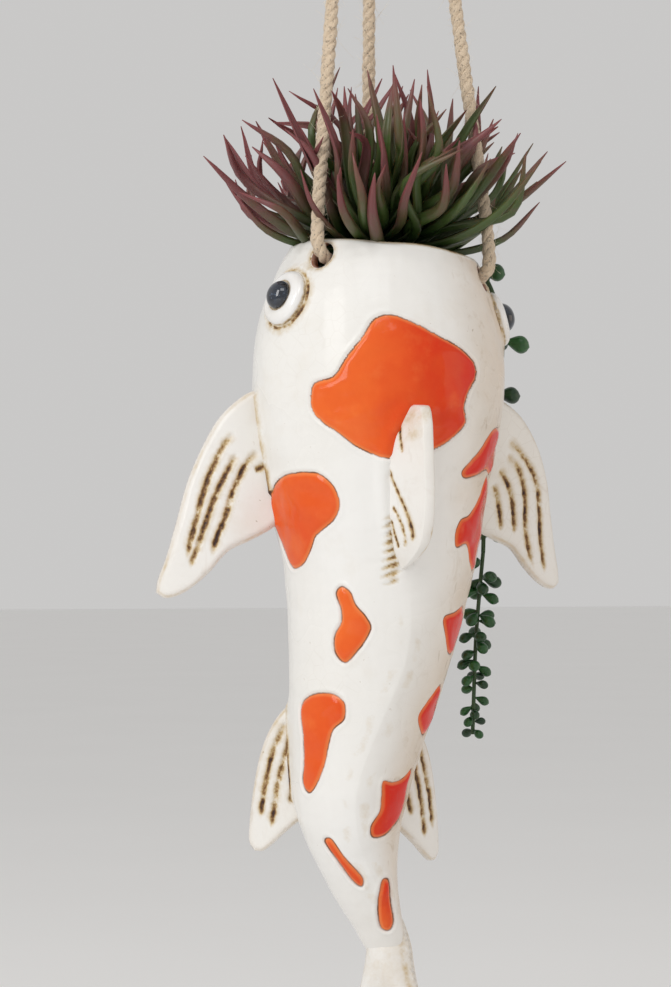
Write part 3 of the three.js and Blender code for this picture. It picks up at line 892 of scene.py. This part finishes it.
def make_body():
    """The hollow body in one sheet: up the inside, over the rim and down the outside."""
    columns, rows = ((480, 440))
    lip = np.linspace(math.pi, 0, 11)[1:-1]
    profile = [(drop, -WALL) for drop in np.linspace(CAVITY_DEPTH, LIP, 70)]
    profile += [(LIP - LIP * math.sin(a), -WALL / 2 + WALL / 2 * math.cos(a)) for a in lip]
    outer_from = len(profile)
    profile += [(drop, 0.0) for drop in np.linspace(LIP, END, rows)]
    profile = np.array(profile)
    azimuths = np.arange(columns) * 360 / columns - 180
    drop, azimuth = (a.ravel() for a in np.meshgrid(profile[:, 0], azimuths, indexing="ij"))
    grow = np.repeat(profile[:, 1], columns)
    plain = skin(drop, azimuth, grow)
    outer = np.repeat(np.arange(len(profile)) >= outer_from, columns)
    points = plain + skin_normal(drop, azimuth) * (0.3 * lumps(plain, 8, 40))[:, None]
    rise, values = body_relief(plain[outer], drop[outer], azimuth[outer])
    points[outer] = plain[outer] + skin_normal(drop[outer], azimuth[outer]) * rise[:, None]
    on_rim = drop < LIP + 0.1
    rim = np.flatnonzero(on_rim & ~outer)
    points[rim, 2] += 0.5 * lumps(plain[rim] * [1, 1, 0], 9, 30)
    full = {key: np.full(len(plain), 30.0 if key == "patch" else 0.0) for key in values}
    for key, part in values.items():
        full[key][outer] = part
    over_rim = bell(drop, 1.2) * (0.72 + 0.3 * np.sin(np.radians(azimuth) - 0.3))
    full["stain"] = np.maximum(full["stain"], np.where(outer | on_rim, over_rim, 0.25))
    points, faces = capped(points, columns)
    values = {key: np.concatenate([part, part[[0, -1]]]) for key, part in full.items()}
    mesh = make_mesh("koi_body", points, faces, attributes=values)
    drill_holes(place("koi_body", mesh, BODY_GLAZE, "white_glaze", "planter", "body_shell"))


def drill_holes(body):
    """Cuts the rope holes through the wall."""
    drills = Builder()
    for azimuth in ROPE_AZIMUTHS.values():
        middle, out = skin(HOLE_DROP, azimuth), outward(azimuth)
        tube(drills, middle + out * np.linspace(-12, 12, 2)[:, None], HOLE / 2, 48)
    drill = bpy.data.objects.new("drill", drills.mesh("drill"))
    bpy.context.scene.collection.objects.link(drill)
    modifier = body.modifiers.new("holes", "BOOLEAN")
    modifier.operation = "DIFFERENCE"
    modifier.solver = "MANIFOLD"
    modifier.object = drill
    drilled = bpy.data.meshes.new_from_object(body.evaluated_get(bpy.context.evaluated_depsgraph_get()))
    body.modifiers.clear()
    body.data = drilled
    bpy.data.objects.remove(drill)


make_body()

# ---------------------------------------------------------------- fins

PECTORAL = {
    "lead": [(50, 60.5), (56, 60), (62, 63.5), (70, 71.5), (77, 84), (83, 98.5), (88, 117), (92, 131),
             (95.5, 141), (96, 145.5)],
    "trail": [(42.5, 114), (48, 118.5), (57, 123.5), (66, 128), (74, 137), (82, 144), (88, 147.2),
              (92.5, 147.8), (96, 145.5)],
    "thickness": 6.5,
    "reach": 96,
    "middle": 0,
}
RIGHT_LEAD = [(50, 60.5), (56, 59.5), (62, 62.5), (72, 70), (80.5, 82.5), (86.5, 97.5), (90.5, 117),
              (94, 133), (95.8, 141), (96, 145.5)]
RIGHT_PECTORAL = {**PECTORAL, "lead": RIGHT_LEAD}
LEFT_GROOVES = [
    [(63, 77), (67.8, 82.3), (72.8, 92.5), (75.8, 100.5), (78.7, 110.7), (81.5, 122.3), (83.3, 131)],
    [(62.2, 85.5), (68.4, 97.2), (72.8, 107.5), (76.4, 118), (78.7, 125.5), (82.3, 135)],
    [(53, 85), (58.3, 90), (62.2, 97.2), (64.7, 103.5), (67.8, 114), (70.8, 121.6), (73.2, 129.5)],
    [(51, 90.8), (55.2, 94)],
]
RIGHT_GROOVES = [
    [(62.5, 78.5), (68.5, 84), (75.5, 92), (80, 101), (81.5, 110), (82, 120), (83.5, 131), (86, 141)],
    [(62, 85.5), (68.5, 92), (71.5, 98.5), (73, 108), (73, 118), (75, 128), (78.5, 137)],
    [(58, 92), (62.8, 98.5), (65.5, 106), (66.5, 114.5), (66.8, 121.5)],
    [(55.5, 98.5), (57.8, 107), (59.3, 115), (59.3, 119.5)],
]
PELVIC = {
    "lead": [(22, 191), (27, 192.5), (33, 198), (38, 206), (42, 217), (45, 232), (46.6, 246), (46.5, 253),
             (44, 256.5)],
    "trail": [(17, 238), (22, 241.5), (30, 248), (36, 253.5), (40, 256.3), (44, 256.5)],
    "thickness": 5.5,
    "reach": 46,
    "middle": -11.5,
}
PELVIC_GROOVES = [
    [(29, 200), (34, 210), (38, 224), (41, 242)],
    [(25, 202), (29, 212), (33, 227), (36, 246)],
    [(22, 210), (24, 222), (28, 236)],
]


def plate(lead, trail, rows, columns):
    """A plate's grid of outline distances: points between its leading and trailing curves, root to tip."""
    a, b = spline(lead, rows), spline(trail, rows)
    u = 0.5 - 0.5 * np.cos(np.linspace(0, math.pi, columns))
    flat = a[:, None] * (1 - u[None, :, None]) + b[:, None] * u[None, :, None]
    outline = np.vstack([spline(lead, 260), spline(trail, 260)])
    edge, _ = nearest(flat.reshape(-1, 2), outline)
    return flat.reshape(-1, 2), edge


def close_plate(front, back, rows, columns):
    """Joins the two faces of a plate along all four sides."""
    faces = grid_faces(rows, columns, False) + grid_faces(rows, columns, False, rows * columns)
    ring = [*range(columns), *range(2 * columns - 1, rows * columns, columns)]
    ring += [*range(rows * columns - 2, (rows - 1) * columns - 1, -1)]
    ring += [*range((rows - 2) * columns, 0, -columns)]
    shift = rows * columns
    faces += [[a, b, b + shift, a + shift] for a, b in zip(ring, ring[1:] + ring[:1])]
    return np.vstack([front, back]), faces


def groove_values(flat, grooves, seed):
    """The depth of a fin's grooves, from 0 to 1, and their stain."""
    depth = np.zeros(len(flat))
    stain = np.zeros(len(flat))
    for index, groove in enumerate(grooves):
        line = spline(groove, 160)
        gap, at = nearest(flat, line)
        share = at / 159
        ends = smooth(share / 0.08) * smooth((1 - share) / 0.1)
        beads = 0.5 + 0.5 * np.sin(share * (46 + 9 * index) + seed + index) * np.sin(share * 17 + index)
        width = 0.85 + 0.4 * beads
        depth = np.maximum(depth, bell(gap, width) * ends * (0.6 + 0.4 * beads))
        dark = (0.62 + 0.45 * beads) * smooth((share - 0.02) / 0.22) * smooth((1.04 - share) / 0.16)
        stain = np.maximum(stain, bell(gap, 1.05) * dark + 0.3 * bell(gap, 2.8) * ends)
    return depth, stain


def make_fin(name, shape, azimuth, curl, grooves, seed, lower=0, lift=0):
    """A paired fin, which may stand lower, and rise by lift for each millimetre outward."""
    rows, columns = 150, 84
    flat, edge = plate(shape["lead"], shape["trail"], rows, columns)
    depth, stain = groove_values(flat, grooves, seed)
    out = flat[:, 0]
    drop = flat[:, 1] + lower - lift * (out - 45)
    half = shape["thickness"] / 2 * (1.12 - 0.3 * smooth(out / shape["reach"]))
    round_over = np.clip(edge / (half * 1.15), 0, 1)
    half = half * np.sqrt(np.maximum(1 - (1 - round_over) ** 2, 0))
    at = np.stack([out, np.zeros_like(out), -drop], -1)
    ripple = 0.22 * lumps(at, seed + 30, 20) * round_over
    half = half - 1.15 * depth * round_over + ripple
    rim_wash = 0.3 * bell(edge - 0.9, 0.7) * (0.6 + 0.4 * lumps(at, seed + 31, 16))
    turned = azimuth + curl * (out / shape["reach"]) ** 3
    sway = 1.2 * smooth((out - 60) / 40) * np.sin(drop / 17)
    middle = outward(turned) * out[:, None] - UP * drop[:, None] + np.array([shape["middle"], 0, 0])
    across = around(turned)
    front, back = middle + across * (half + sway)[:, None], middle - across * (half - sway)[:, None]
    points, faces = close_plate(front, back, rows, columns)
    stain = np.clip(stain + rim_wash, 0, 1.1)
    # painted warm shade, faint all over the fin and stronger along its edges
    values = {"stain": np.tile(stain, 2), "warm": np.tile(0.1 + 0.25 * bell(edge, 2.2), 2)}
    mesh = make_mesh(name, points, faces, attributes=values)
    place(name, mesh, FIN_GLAZE, "white_glaze", "planter", f"{name}_fin")


make_fin("left_pectoral", PECTORAL, -96, -10, LEFT_GROOVES, 2)
make_fin("right_pectoral", RIGHT_PECTORAL, 96, 5, RIGHT_GROOVES, 4, lift=0.08)
make_fin("left_pelvic", PELVIC, -118, -6, PELVIC_GROOVES, 7)
make_fin("right_pelvic", PELVIC, 102, 6, PELVIC_GROOVES, 9, lower=6)


def dorsal_form(form, share):
    """The dorsal fin's plain points, from its foot on the left over its crest to its root on the right."""
    rows, columns = len(form), len(share)
    drop, left, crest, top = (np.repeat(form[:, k], columns) for k in range(4))
    s = np.tile(share, rows)
    half = (2.9 * (0.35 + 0.65 * smooth((139 - drop) / 18)))[:, None]
    base = np.linalg.norm(skin(drop, crest, -2.5)[:, :2], axis=1)
    foot = skin(drop, left, -2)
    foot[:, 2] = -drop
    peak = outward(crest) * top[:, None] + around(crest) * -half
    far = outward(crest) * top[:, None] + around(crest) * half * 0.6
    root = outward(crest) * base[:, None] + around(crest) * (half * 1.4)
    up = np.clip(s / 0.62, 0, 1)
    up = up ** 1.25 * (1 - 0.16 * np.sin(up * math.pi))
    points = foot * (1 - up[:, None]) + peak * up[:, None]
    for stop, share_on in ((far, smooth((s - 0.62) / 0.18)), (root, np.clip((s - 0.76) / 0.24, 0, 1))):
        points = points * (1 - share_on[:, None]) + stop * share_on[:, None]
    points += outward(crest) * (1.4 * bell(s - 0.72, 0.09) * smooth((top - base) / 8))[:, None]
    points[:, 2] = -drop
    return points, drop, s, crest


def dorsal_wear(drop, s):
    """The depth and the stain of the dorsal fin's grooves and stains."""
    line_at = np.stack([drop, s * DORSAL_ACROSS], -1)
    depth = np.zeros(len(drop))
    stain = np.zeros(len(drop))
    for index, groove in enumerate(DORSAL_GROOVES):
        line = spline([(d, across * DORSAL_ACROSS) for d, across in groove], 120)
        gap, at = nearest(line_at, line)
        ends = smooth(at / 12) * smooth((119 - at) / 10)
        beads = 0.5 + 0.5 * np.sin(at * 0.34 + index) * np.sin(at * 0.13 + 2 * index)
        depth = np.maximum(depth, bell(gap, 0.8) * ends * (0.5 + 0.5 * beads))
        stain = np.maximum(stain, bell(gap, 0.75) * ends * (0.4 + 0.6 * beads) + 0.2 * bell(gap, 2) * ends)
    pits = smooth((drop - 112) / 8) * smooth((136 - drop) / 5) * smooth((0.2 - s) / 0.1)
    pits *= np.abs(np.sin(drop * 1.1))
    stain += 0.6 * pits + 0.35 * bell(s - 0.98, 0.05)
    stain += 0.8 * bell(s - 0.78, 0.03) * (bell(drop - 121, 2) + bell(drop - 128, 2.4))
    stain += 0.3 * bell(drop - 73, 4) + 0.35 * bell(s - 0.5, 0.12) * bell(drop - 81, 3)
    return 0.95 * depth + 0.5 * pits, stain


def make_dorsal():
    """A crest that rises gently from the left and falls steeply to the right."""
    rows, columns = 170, 90
    points, drop, s, crest = dorsal_form(spline(DORSAL, rows), np.linspace(0, 1, columns))
    depth, stain = dorsal_wear(drop, s)
    facing = outward(crest) * 0.8 - around(crest) * 0.6
    points += facing * (0.2 * lumps(points, 51, 14) - depth)[:, None]
    points, faces = capped(points, columns)
    # painted warm shade, stronger on the fin's steep right face
    values = {"stain": np.concatenate([np.clip(stain, 0, 1.1), [0, 0]]),
              "warm": np.concatenate([0.15 + 0.35 * smooth((s - 0.7) / 0.2), [0.1, 0.1]])}
    mesh = make_mesh("dorsal", points, faces, attributes=values)
    place("dorsal", mesh, FIN_GLAZE, "white_glaze", "planter", "dorsal_fin")


make_dorsal()

# Half of the tail's outline, and the line that it is filled from, as distance out and drop.
TAIL_OUTLINE = [(3, 280), (6.6, 287), (9.4, 296), (10.9, 305), (15, 319), (24, 335), (34, 351), (37.8, 359.5),
                (37, 364), (31.5, 364.2), (20, 357), (9, 349), (0, 346.5)]
TAIL_MIDLINE = [(0, 280), (0, 292), (0, 305), (0, 320), (0, 334), (0, 346.5), (9, 349), (20, 357),
                (31.5, 364.2), (37, 364)]
TAIL_AZIMUTH = 38
TAIL_MIDDLE = 4.2
TAIL_GROOVES = [
    [(5, 316), (8, 326), (14, 338), (22, 351)],
    [(8.5, 314), (13, 325), (20, 337), (29, 352)],
    [(2.5, 320), (4, 330), (8, 341), (13, 351)],
]


def make_tail():
    """The forked tail: thick where it leaves the body and thin at its two tips."""
    rows, columns = 120, 120
    side = spline(TAIL_OUTLINE[:9], rows)
    inner = spline(TAIL_MIDLINE, rows)
    u = 0.5 - 0.5 * np.cos(np.linspace(0, math.pi, columns))
    flat = (inner[:, None] * (1 - u[None, :, None]) + side[:, None] * u[None, :, None]).reshape(-1, 2)
    edge, _ = nearest(flat, spline(TAIL_OUTLINE, 300))
    depth, stain = groove_values(flat, TAIL_GROOVES, 5)
    out, drop = flat[:, 0], flat[:, 1]
    half = 3.1 + 6.4 * smooth((332 - drop) / 30) * smooth((drop - 276) / 24)
    round_over = np.clip(edge / np.maximum(half, 3.2), 0, 1)
    half = half * np.sqrt(np.maximum(1 - (1 - round_over) ** 2, 0)) - 1.0 * depth * round_over
    builder = Builder()
    for way in (-1, 1):
        middle = outward(TAIL_AZIMUTH) * (out * way)[:, None] + np.array([TAIL_MIDDLE, 0, 0])
        middle = middle - UP * drop[:, None]
        across = around(TAIL_AZIMUTH)
        bend = 2.5 * smooth((drop - 315) / 50) * way
        front, back = middle + across * (half + bend)[:, None], middle - across * (half - bend)[:, None]
        points, faces = close_plate(front, back, rows, columns)
        wash = stain + 0.3 * bell(edge - 0.9, 0.7) + 0.12 * smooth((326 - drop) / 20)
        # faint painted warm shade all over the tail
        builder.add(points, faces, stain=np.tile(np.clip(wash, 0, 1.1), 2), warm=0.15)
    builder.place("tail", FIN_GLAZE, "white_glaze", "planter", "tail_fin")


make_tail()

# ---------------------------------------------------------------- eyes


def turned_form(profile, middle, facing, sides, wobble):
    """A round form about an axis, from (radius, height) points, with a little handmade unevenness."""
    side = unit(np.cross(facing, UP))
    up = np.cross(side, facing)
    ring, angles = circle(side, up, sides)
    ring *= (1 + wobble * (np.sin(2 * angles + 1) + 0.6 * np.sin(3 * angles + 2.2)))[:, None]
    points = middle + profile[:, None, :1] * ring[None] + facing * profile[:, None, 1:]
    points, faces = capped(points.reshape(-1, 3), sides)
    return points, faces, np.repeat(profile[:, 0], sides), np.repeat(profile[:, 1], sides)


def make_eye(name, side):
    """The raised white disc and the glazed dome of its pupil."""
    middle, facing = eye_frame(side)
    r, p = EYE / 2, PUPIL / 2
    profile = spline([(r - 0.4, -5), (r, -2), (r + 0.1, 0.4), (r - 0.3, 1.8), (r - 1.4, 2.9), (r - 3, 3.5),
                      (r - 4.6, 3.6), (p + 0.2, 3.3), (p - 0.6, 3.1), (1, 3.1)], 70)
    points, faces, radius, height = turned_form(profile, middle, facing, 96, 0.006)
    points = points + facing * (0.12 * lumps(points, 61 + side, 7))[:, None]
    stain = 0.8 * bell(radius - p - 0.4, 0.45) + 0.75 * smooth((1.4 - height) / 1.6) * (radius > r - 2)
    stain = np.concatenate([stain, [0, 0]])
    mesh = make_mesh(f"{name}_eye", points, faces, attributes={"stain": stain})
    place(f"{name}_eye", mesh, EYE_GLAZE, "eye_white_glaze", "planter", f"{name}_eye_white")
    profile = spline([(p - 0.3, 2.6), (p, 3.6), (p - 0.1, 4.7), (p - 0.7, 5.9), (p - 1.9, 7.1),
                      (p - 3.4, 7.9), (p - 4.8, 8.2), (0.3, 8.25)], 40)
    points, faces, _, _ = turned_form(profile, middle, facing, 80, 0.008)
    mesh = make_mesh(f"{name}_pupil_dome", points, faces)
    place(f"{name}_pupil_dome", mesh, PUPIL_GLAZE, "black_glaze", "planter", f"{name}_pupil")


make_eye("left", -1)
make_eye("right", 1)

# ---------------------------------------------------------------- plants

PICKS = [(0, 0), (44, -28), (44, 28), (44, 90), (44, 137), (44, 197), (44, 264)]
FAN_POINT = np.array([0, 0, -10.0])  # where the succulents spread from
CORE_START = 15
FLATTEST = 70  # a leaf that slants more than this from upright has its tip raised
STEM = 2.4
STEM_LOW = 0.62  # share of the way out at which a stem stands in the foam
FOAM_TOP = 32
FOAM_BOTTOM = 74


def stem_material():
    n = Nodes("moulded_stem")
    tone = n.noise(220, 3)
    n.set(Base_Color=n.mix(n.ramp(tone, 0.3, 0.7), (0.02, 0.055, 0.018), (0.05, 0.09, 0.03)))
    n.set(Roughness=n.ramp(tone, 0, 1, 0.45, 0.7))
    n.bump(tone, 0.0003, 0.5)
    return n.material


def leaf_material():
    n = Nodes("succulent_leaves")
    reach, tint = n.value("reach"), n.value("tint")
    mottle = n.noise(150, 4, 0.6)
    turn = n.plus(n.plus(reach, n.ramp(tint, 0, 1, -0.45, 0.5)), n.ramp(mottle, 0.3, 0.7, -0.1, 0.1))
    green = n.mix(n.ramp(reach, 0.1, 0.6), (0.007, 0.026, 0.004), (0.055, 0.088, 0.018))
    purple = n.mix(n.ramp(reach, 0.3, 1), (0.105, 0.042, 0.040), (0.20, 0.05, 0.052))
    colour = n.mix(n.ramp(turn, 0.38, 0.82), green, purple)
    colour = n.mix(n.times(n.value("edge"), n.ramp(turn, 0.35, 0.9, 0.05, 0.4)), colour,
                   (0.30, 0.09, 0.10))
    colour = n.mix(n.ramp(mottle, 0.55, 0.8, 0, 0.35), colour, (0.11, 0.085, 0.085))
    n.set(Base_Color=colour, Roughness=n.ramp(mottle, 0.2, 0.8, 0.34, 0.52), Subsurface_Weight=0.06,
          Subsurface_Scale=0.003)
    n.bump(n.noise(500, 3, vector=n.coordinates((1, 1, 0.25))), 0.0003, 0.4)
    return n.material


def bead_material():
    n = Nodes("bead_leaves")
    tint = n.value("tint")
    mottle = n.noise(240, 3, 0.6)
    shade = n.plus(tint, n.ramp(mottle, 0.3, 0.7, -0.25, 0.25))
    colour = n.mix(n.ramp(shade, 0, 1), (0.005, 0.030, 0.007), (0.018, 0.095, 0.018))
    n.set(Base_Color=colour, Roughness=n.ramp(mottle, 0.2, 0.8, 0.3, 0.46), Subsurface_Weight=0.05,
          Subsurface_Scale=0.003)
    n.bump(mottle, 0.0004, 0.35)
    return n.material


def foam_material():
    n = Nodes("planting_foam")
    crumbs = n.noise(260, 6, 0.75)
    holes = n.node("ShaderNodeTexVoronoi", {"Scale": 700, "Vector": n.coordinates()}).outputs["Distance"]
    colour = n.mix(n.ramp(crumbs, 0.35, 0.65), (0.02, 0.03, 0.012), (0.07, 0.085, 0.035))
    colour = n.mix(n.ramp(holes, 0.1, 0.3, 0.7, 0), colour, (0.01, 0.013, 0.007))
    n.set(Base_Color=colour, Roughness=n.ramp(crumbs, 0, 1, 0.85, 1.0))
    n.bump(n.plus(crumbs, holes), 0.002, 0.9)
    return n.material


STEM_GREEN = stem_material()
LEAVES = leaf_material()
BEADS = bead_material()
FOAM = foam_material()

# A leaf's section, across and through it, in half widths: a shallow channel above and a keel below.
LEAF_SECTION = np.array([(-1, 0.3), (-0.55, 0.02), (0, -0.1), (0.55, 0.02), (1, 0.3), (0.85, -0.1),
                         (0.45, -0.45), (0, -0.6), (-0.45, -0.45), (-0.85, -0.1)])


def add_leaf(builder, line, width, inner, tint):
    """A curved pointed leaf along a line, its channel facing inner."""
    count = len(line)
    s = np.linspace(0, 1, count)
    tangents = unit(np.gradient(line, axis=0))
    face = unit(inner - tangents * (tangents @ inner)[:, None])
    side = np.cross(tangents, face)
    half = width / 2 * (0.7 + 1.2 * s) * np.maximum(1 - s, 0.012) ** 0.78
    fold = 1 + 0.6 * s
    section = LEAF_SECTION
    through = (section[None, :, 1:] * fold[:, None, None]) * face[:, None]
    points = line[:, None] + half[:, None, None] * (section[None, :, :1] * side[:, None] + through)
    points, faces = capped(points.reshape(-1, 3), len(section), line[[0, -1]])
    edge = np.tile((np.abs(section[:, 0]) > 0.9).astype(float), count)
    builder.add(points, faces, reach=np.concatenate([np.repeat(s, len(section)), [0, 1]]),
                edge=np.concatenate([edge, [0, 1]]), tint=tint)


def pick_axis(tilt, azimuth):
    t = math.radians(tilt)
    return outward(azimuth) * math.sin(t) + np.array([0, 0, math.cos(t)])


def make_succulent(index, tilt, azimuth):
    """A rosette of leaves about an axis, and the stem that stands in the foam."""
    name = f"succulent_{index + 1}"
    axis = pick_axis(tilt, azimuth)
    random = np.random.default_rng(100 + index)
    aside = unit(np.cross([math.sin(index), math.cos(index), 0.3], axis))
    central = index == 0
    count, spread = (24, 25) if central else (21, 26)
    builder = Builder()
    for i in range(count):
        share = (i + 0.5) / count
        turn = i * 2.4 + random.uniform(-0.3, 0.3)
        lean = aside * math.cos(turn) + np.cross(axis, aside) * math.sin(turn)
        off = math.radians(spread * share**0.6)
        reach = random.uniform(72, 97) - (4 if central else 0) - 5 * share
        root = FAN_POINT + axis * (CORE_START - 1 + 15 * (1 - share)) + lean * 1.5
        tip = FAN_POINT + reach * (axis * math.cos(off) + lean * math.sin(off))
        slant = 90 - math.degrees(math.asin(np.clip((tip - root)[2] / np.linalg.norm(tip - root), -1, 1)))
        if slant > FLATTEST:
            tip = tip + np.array([0, 0, (slant - FLATTEST) * 1.1])
        span = np.linalg.norm(tip - root)
        sway = random.normal(size=3) * 0.05 * span
        low = root + (tip - root) * 0.3 + (lean * 0.07 - UP * 0.03) * span + sway * 0.6
        high = root + (tip - root) * 0.68 + (lean * 0.08 - UP * 0.035) * span - sway
        hook = tip + np.array([0, 0, random.uniform(0, 0.09)]) * span + sway * 1.2
        line = spline([root, low, high, hook], 15)
        side_tint = 0.4 - line[-1, 0] / 280 + random.uniform(-0.25, 0.25)
        add_leaf(builder, line, random.uniform(5.8, 7.4), unit(axis * 0.8 - lean * 0.6), side_tint)
    builder.place(f"{name}_leaves", LEAVES, "succulent_leaf", "planter", f"{name}_rosette")
    top = FAN_POINT + axis * (CORE_START + 6)
    foot = (FAN_POINT + axis * (CORE_START - 0.3)) * STEM_LOW * [1, 1, 0]
    route = [foot - UP * (FOAM_TOP + 6), foot - UP * (FOAM_TOP - 4), foot - UP * 8, top]
    stem = Builder()
    line = spline(route, 30)
    tube(stem, line, STEM / 2 + 0.3 * smooth(np.linspace(-1, 1, 30)), 12)
    stem.place(f"{name}_stalk", STEM_GREEN, "green_stem", "planter", f"{name}_stem")


for pick_index, pick in enumerate(PICKS):
    make_succulent(pick_index, *pick)


def make_foam():
    """The foam block that holds the stems: a crumbly crowned top and a side that fills the mouth."""
    columns = 120
    azimuths = np.arange(columns) * 3.0
    rings = []
    for share in np.linspace(0.02, 1, 34):
        ring = skin(FOAM_TOP, azimuths, -WALL - 1) * [share, share, 1]
        ring[:, 2] += 2.2 * (1 - share**2) + 0.7 * lumps(ring, 71, 9) + 0.4 * lumps(ring, 72, 4)
        rings.append(ring)
    for drop in np.linspace(FOAM_TOP + 2, FOAM_BOTTOM, 18):
        rings.append(skin(drop, azimuths, -WALL - 1))
    mesh = make_mesh("foam_block", *capped(np.vstack(rings), columns))
    place("foam_block", mesh, FOAM, "foam", "planter", "foam_plug")


make_foam()

# ---------------------------------------------------------------- the trailing strand

# The strand's route, as outward distance, azimuth and height.
STRAND_ROOT = [(19, 116, -58), (19, 116, -42), (19, 116, -28), (22.5, 115, -10), (30, 111, 1), (37, 107, 4.2),
               (42.6, 104.8, 3.1)]
STRAND_UPPER = [(42.6, 104.8, 3.1), (49, 101.5, -0.8), (54, 98, -7), (57.5, 96, -16), (60.5, 95.5, -28),
                (62, 97, -40), (62.3, 100, -50), (62, 104, -62), (61.5, 106.5, -80), (61, 108, -100),
                (61, 109, -127.7)]
STRAND_LOWER = [(61, 109, -127.7), (61, 111.5, -148), (60.5, 113, -168), (60, 114.5, -209)]
# Each leaf pair's share of the upper half, size and leaf azimuths.
LEAF_PAIRS = [(0.088, 5.1, (70, 150)), (0.33, 5.2, (70, 165)), (0.505, 5, (70, 160)), (0.7, 4.1, (150, 200)),
              (0.94, 4, (70, 165))]
LEAF_TURN = 112  # the azimuth that the lower clusters are turned from
CLUSTERS = 9
BEAD_ROWS = 13
BEAD_SIDES = 14


def strand_line(route, count):
    return spline([outward(turn) * out + [0, 0, height] for out, turn, height in route], count)


def add_bead(builder, root, direction, size, random, plump=0.5):
    """A plump leaf: narrow at its stalk, widest past its middle, with a blunt tip."""
    forward = unit(direction)
    side = unit(np.cross(forward, [0.1, 0.2, 1.0]))
    up = np.cross(side, forward)
    s = np.linspace(0, 1, BEAD_ROWS)
    radius = size * np.sin(math.pi * s**1.55) ** 0.7 * (plump + 0.36 * s)
    radius = np.maximum(radius, 0.35 * (1 - s))
    bend = -0.18 * size * s**2
    middle = root + forward * (s * 2.35 * size)[:, None] + UP * bend[:, None]
    ring, _ = circle(side, 0.84 * up, BEAD_SIDES)
    points = (middle[:, None] + ring[None] * radius[:, None, None]).reshape(-1, 3)
    points, faces = capped(points, BEAD_SIDES, [root, middle[-1] + forward * 0.3])
    builder.add(points, faces, tint=random.uniform(0, 1))


def make_stalk(name, route, count, thickness, body, node):
    """One length of the strand's stem, along its route."""
    line = strand_line(route, count)
    stalk = Builder()
    tube(stalk, line, STEM / 2 * thickness, 12)
    stalk.place(name, STEM_GREEN, "green_stem", body, node)
    return line


def make_strand():
    """The strand's stem, its single leaves above, and its clusters of beads below."""
    random = np.random.default_rng(210)
    make_stalk("strand_root_stalk", STRAND_ROOT, 60, 0.85, "planter", "strand_root")
    upper = make_stalk("strand_upper_stalk", STRAND_UPPER, 120, 0.8, "strand_top", "strand_upper_stem")
    for index, (share, size, turns) in enumerate(LEAF_PAIRS):
        builder = Builder()
        for turn in turns:
            at = upper[int(share * 119)] + UP * random.uniform(-1, 1)
            way = outward(turn + random.uniform(-5, 5)) + [0, 0, random.uniform(-0.25, 0.05)]
            add_bead(builder, at, way, size, random, 0.66)
        builder.place(f"strand_pair_{index + 1}", BEADS, "bead_leaf", "strand_top",
                      f"strand_leaf_pair_{index + 1}")
    lower = make_stalk("strand_lower_stalk", STRAND_LOWER, 90, 0.75, "strand_end", "strand_lower_stem")
    for index in range(CLUSTERS):
        builder = Builder()
        for step in (0, 90, 180, 270):
            at = lower[int((0.11 + 0.103 * index) * 89)] + UP * random.uniform(-4, 4)
            turn = LEAF_TURN + 45 * (index % 2) + step + random.uniform(-16, 16)
            way = outward(turn) + [0, 0, random.uniform(-0.75, 0.1)]
            add_bead(builder, at, way, 4.35 - 0.17 * index + random.uniform(-0.3, 0.2), random)
        builder.place(f"strand_cluster_{index + 1}", BEADS, "bead_leaf", "strand_end",
                      f"strand_whorl_{index + 1}")


make_strand()

# ---------------------------------------------------------------- floor and light

FLOOR_HEIGHT = -0.86
FISH_MIDDLE = RIM_AT * MM + [0, 0, -0.12]
WORLD_STRENGTH = 0.63
# Each light's name, azimuth, distance and height from the fish's middle, size, power and colour.
LIGHTS = [
    ("window", -66, 1.5, 0.7, (0.5, 1.1), 10, (1, 0.99, 0.98)),
    ("sky", -25, 1.3, 1.5, (1.0, 0.6), 5.5, (0.97, 0.985, 1)),
    ("bounce", 60, 1.6, -0.1, (1.2, 1.4), 4.5, (1, 0.83, 0.70)),
]


def make_stage():
    bpy.ops.mesh.primitive_plane_add(size=40, location=(0, 0, FLOOR_HEIGHT))
    floor = bpy.context.object
    floor.name = "floor"
    n = Nodes("floor_paper")
    n.set(Base_Color=n.mix(n.noise(3, 3), (0.90, 0.895, 0.885), (0.93, 0.925, 0.915)), Roughness=0.95)
    floor.data.materials.append(n.material)
    world = bpy.data.worlds.new("studio")
    world.use_nodes = True
    background = world.node_tree.nodes["Background"]
    background.inputs["Color"].default_value = (0.93, 0.92, 0.91, 1)
    background.inputs["Strength"].default_value = WORLD_STRENGTH
    bpy.context.scene.world = world


def add_light(name, azimuth, distance, height, size, power, colour):
    data = bpy.data.lights.new(name, "AREA")
    data.shape = "RECTANGLE"
    data.size, data.size_y = size
    data.energy = power
    data.color = colour
    light = bpy.data.objects.new(name, data)
    bpy.context.scene.collection.objects.link(light)
    light.location = Vector(FISH_MIDDLE + outward(azimuth) * distance + UP * height)
    light.rotation_euler = (Vector(FISH_MIDDLE) - light.location).to_track_quat("-Z", "Y").to_euler()


make_stage()
for light_values in LIGHTS:
    add_light(*light_values)
bpy.context.scene.view_settings.view_transform = "Standard"
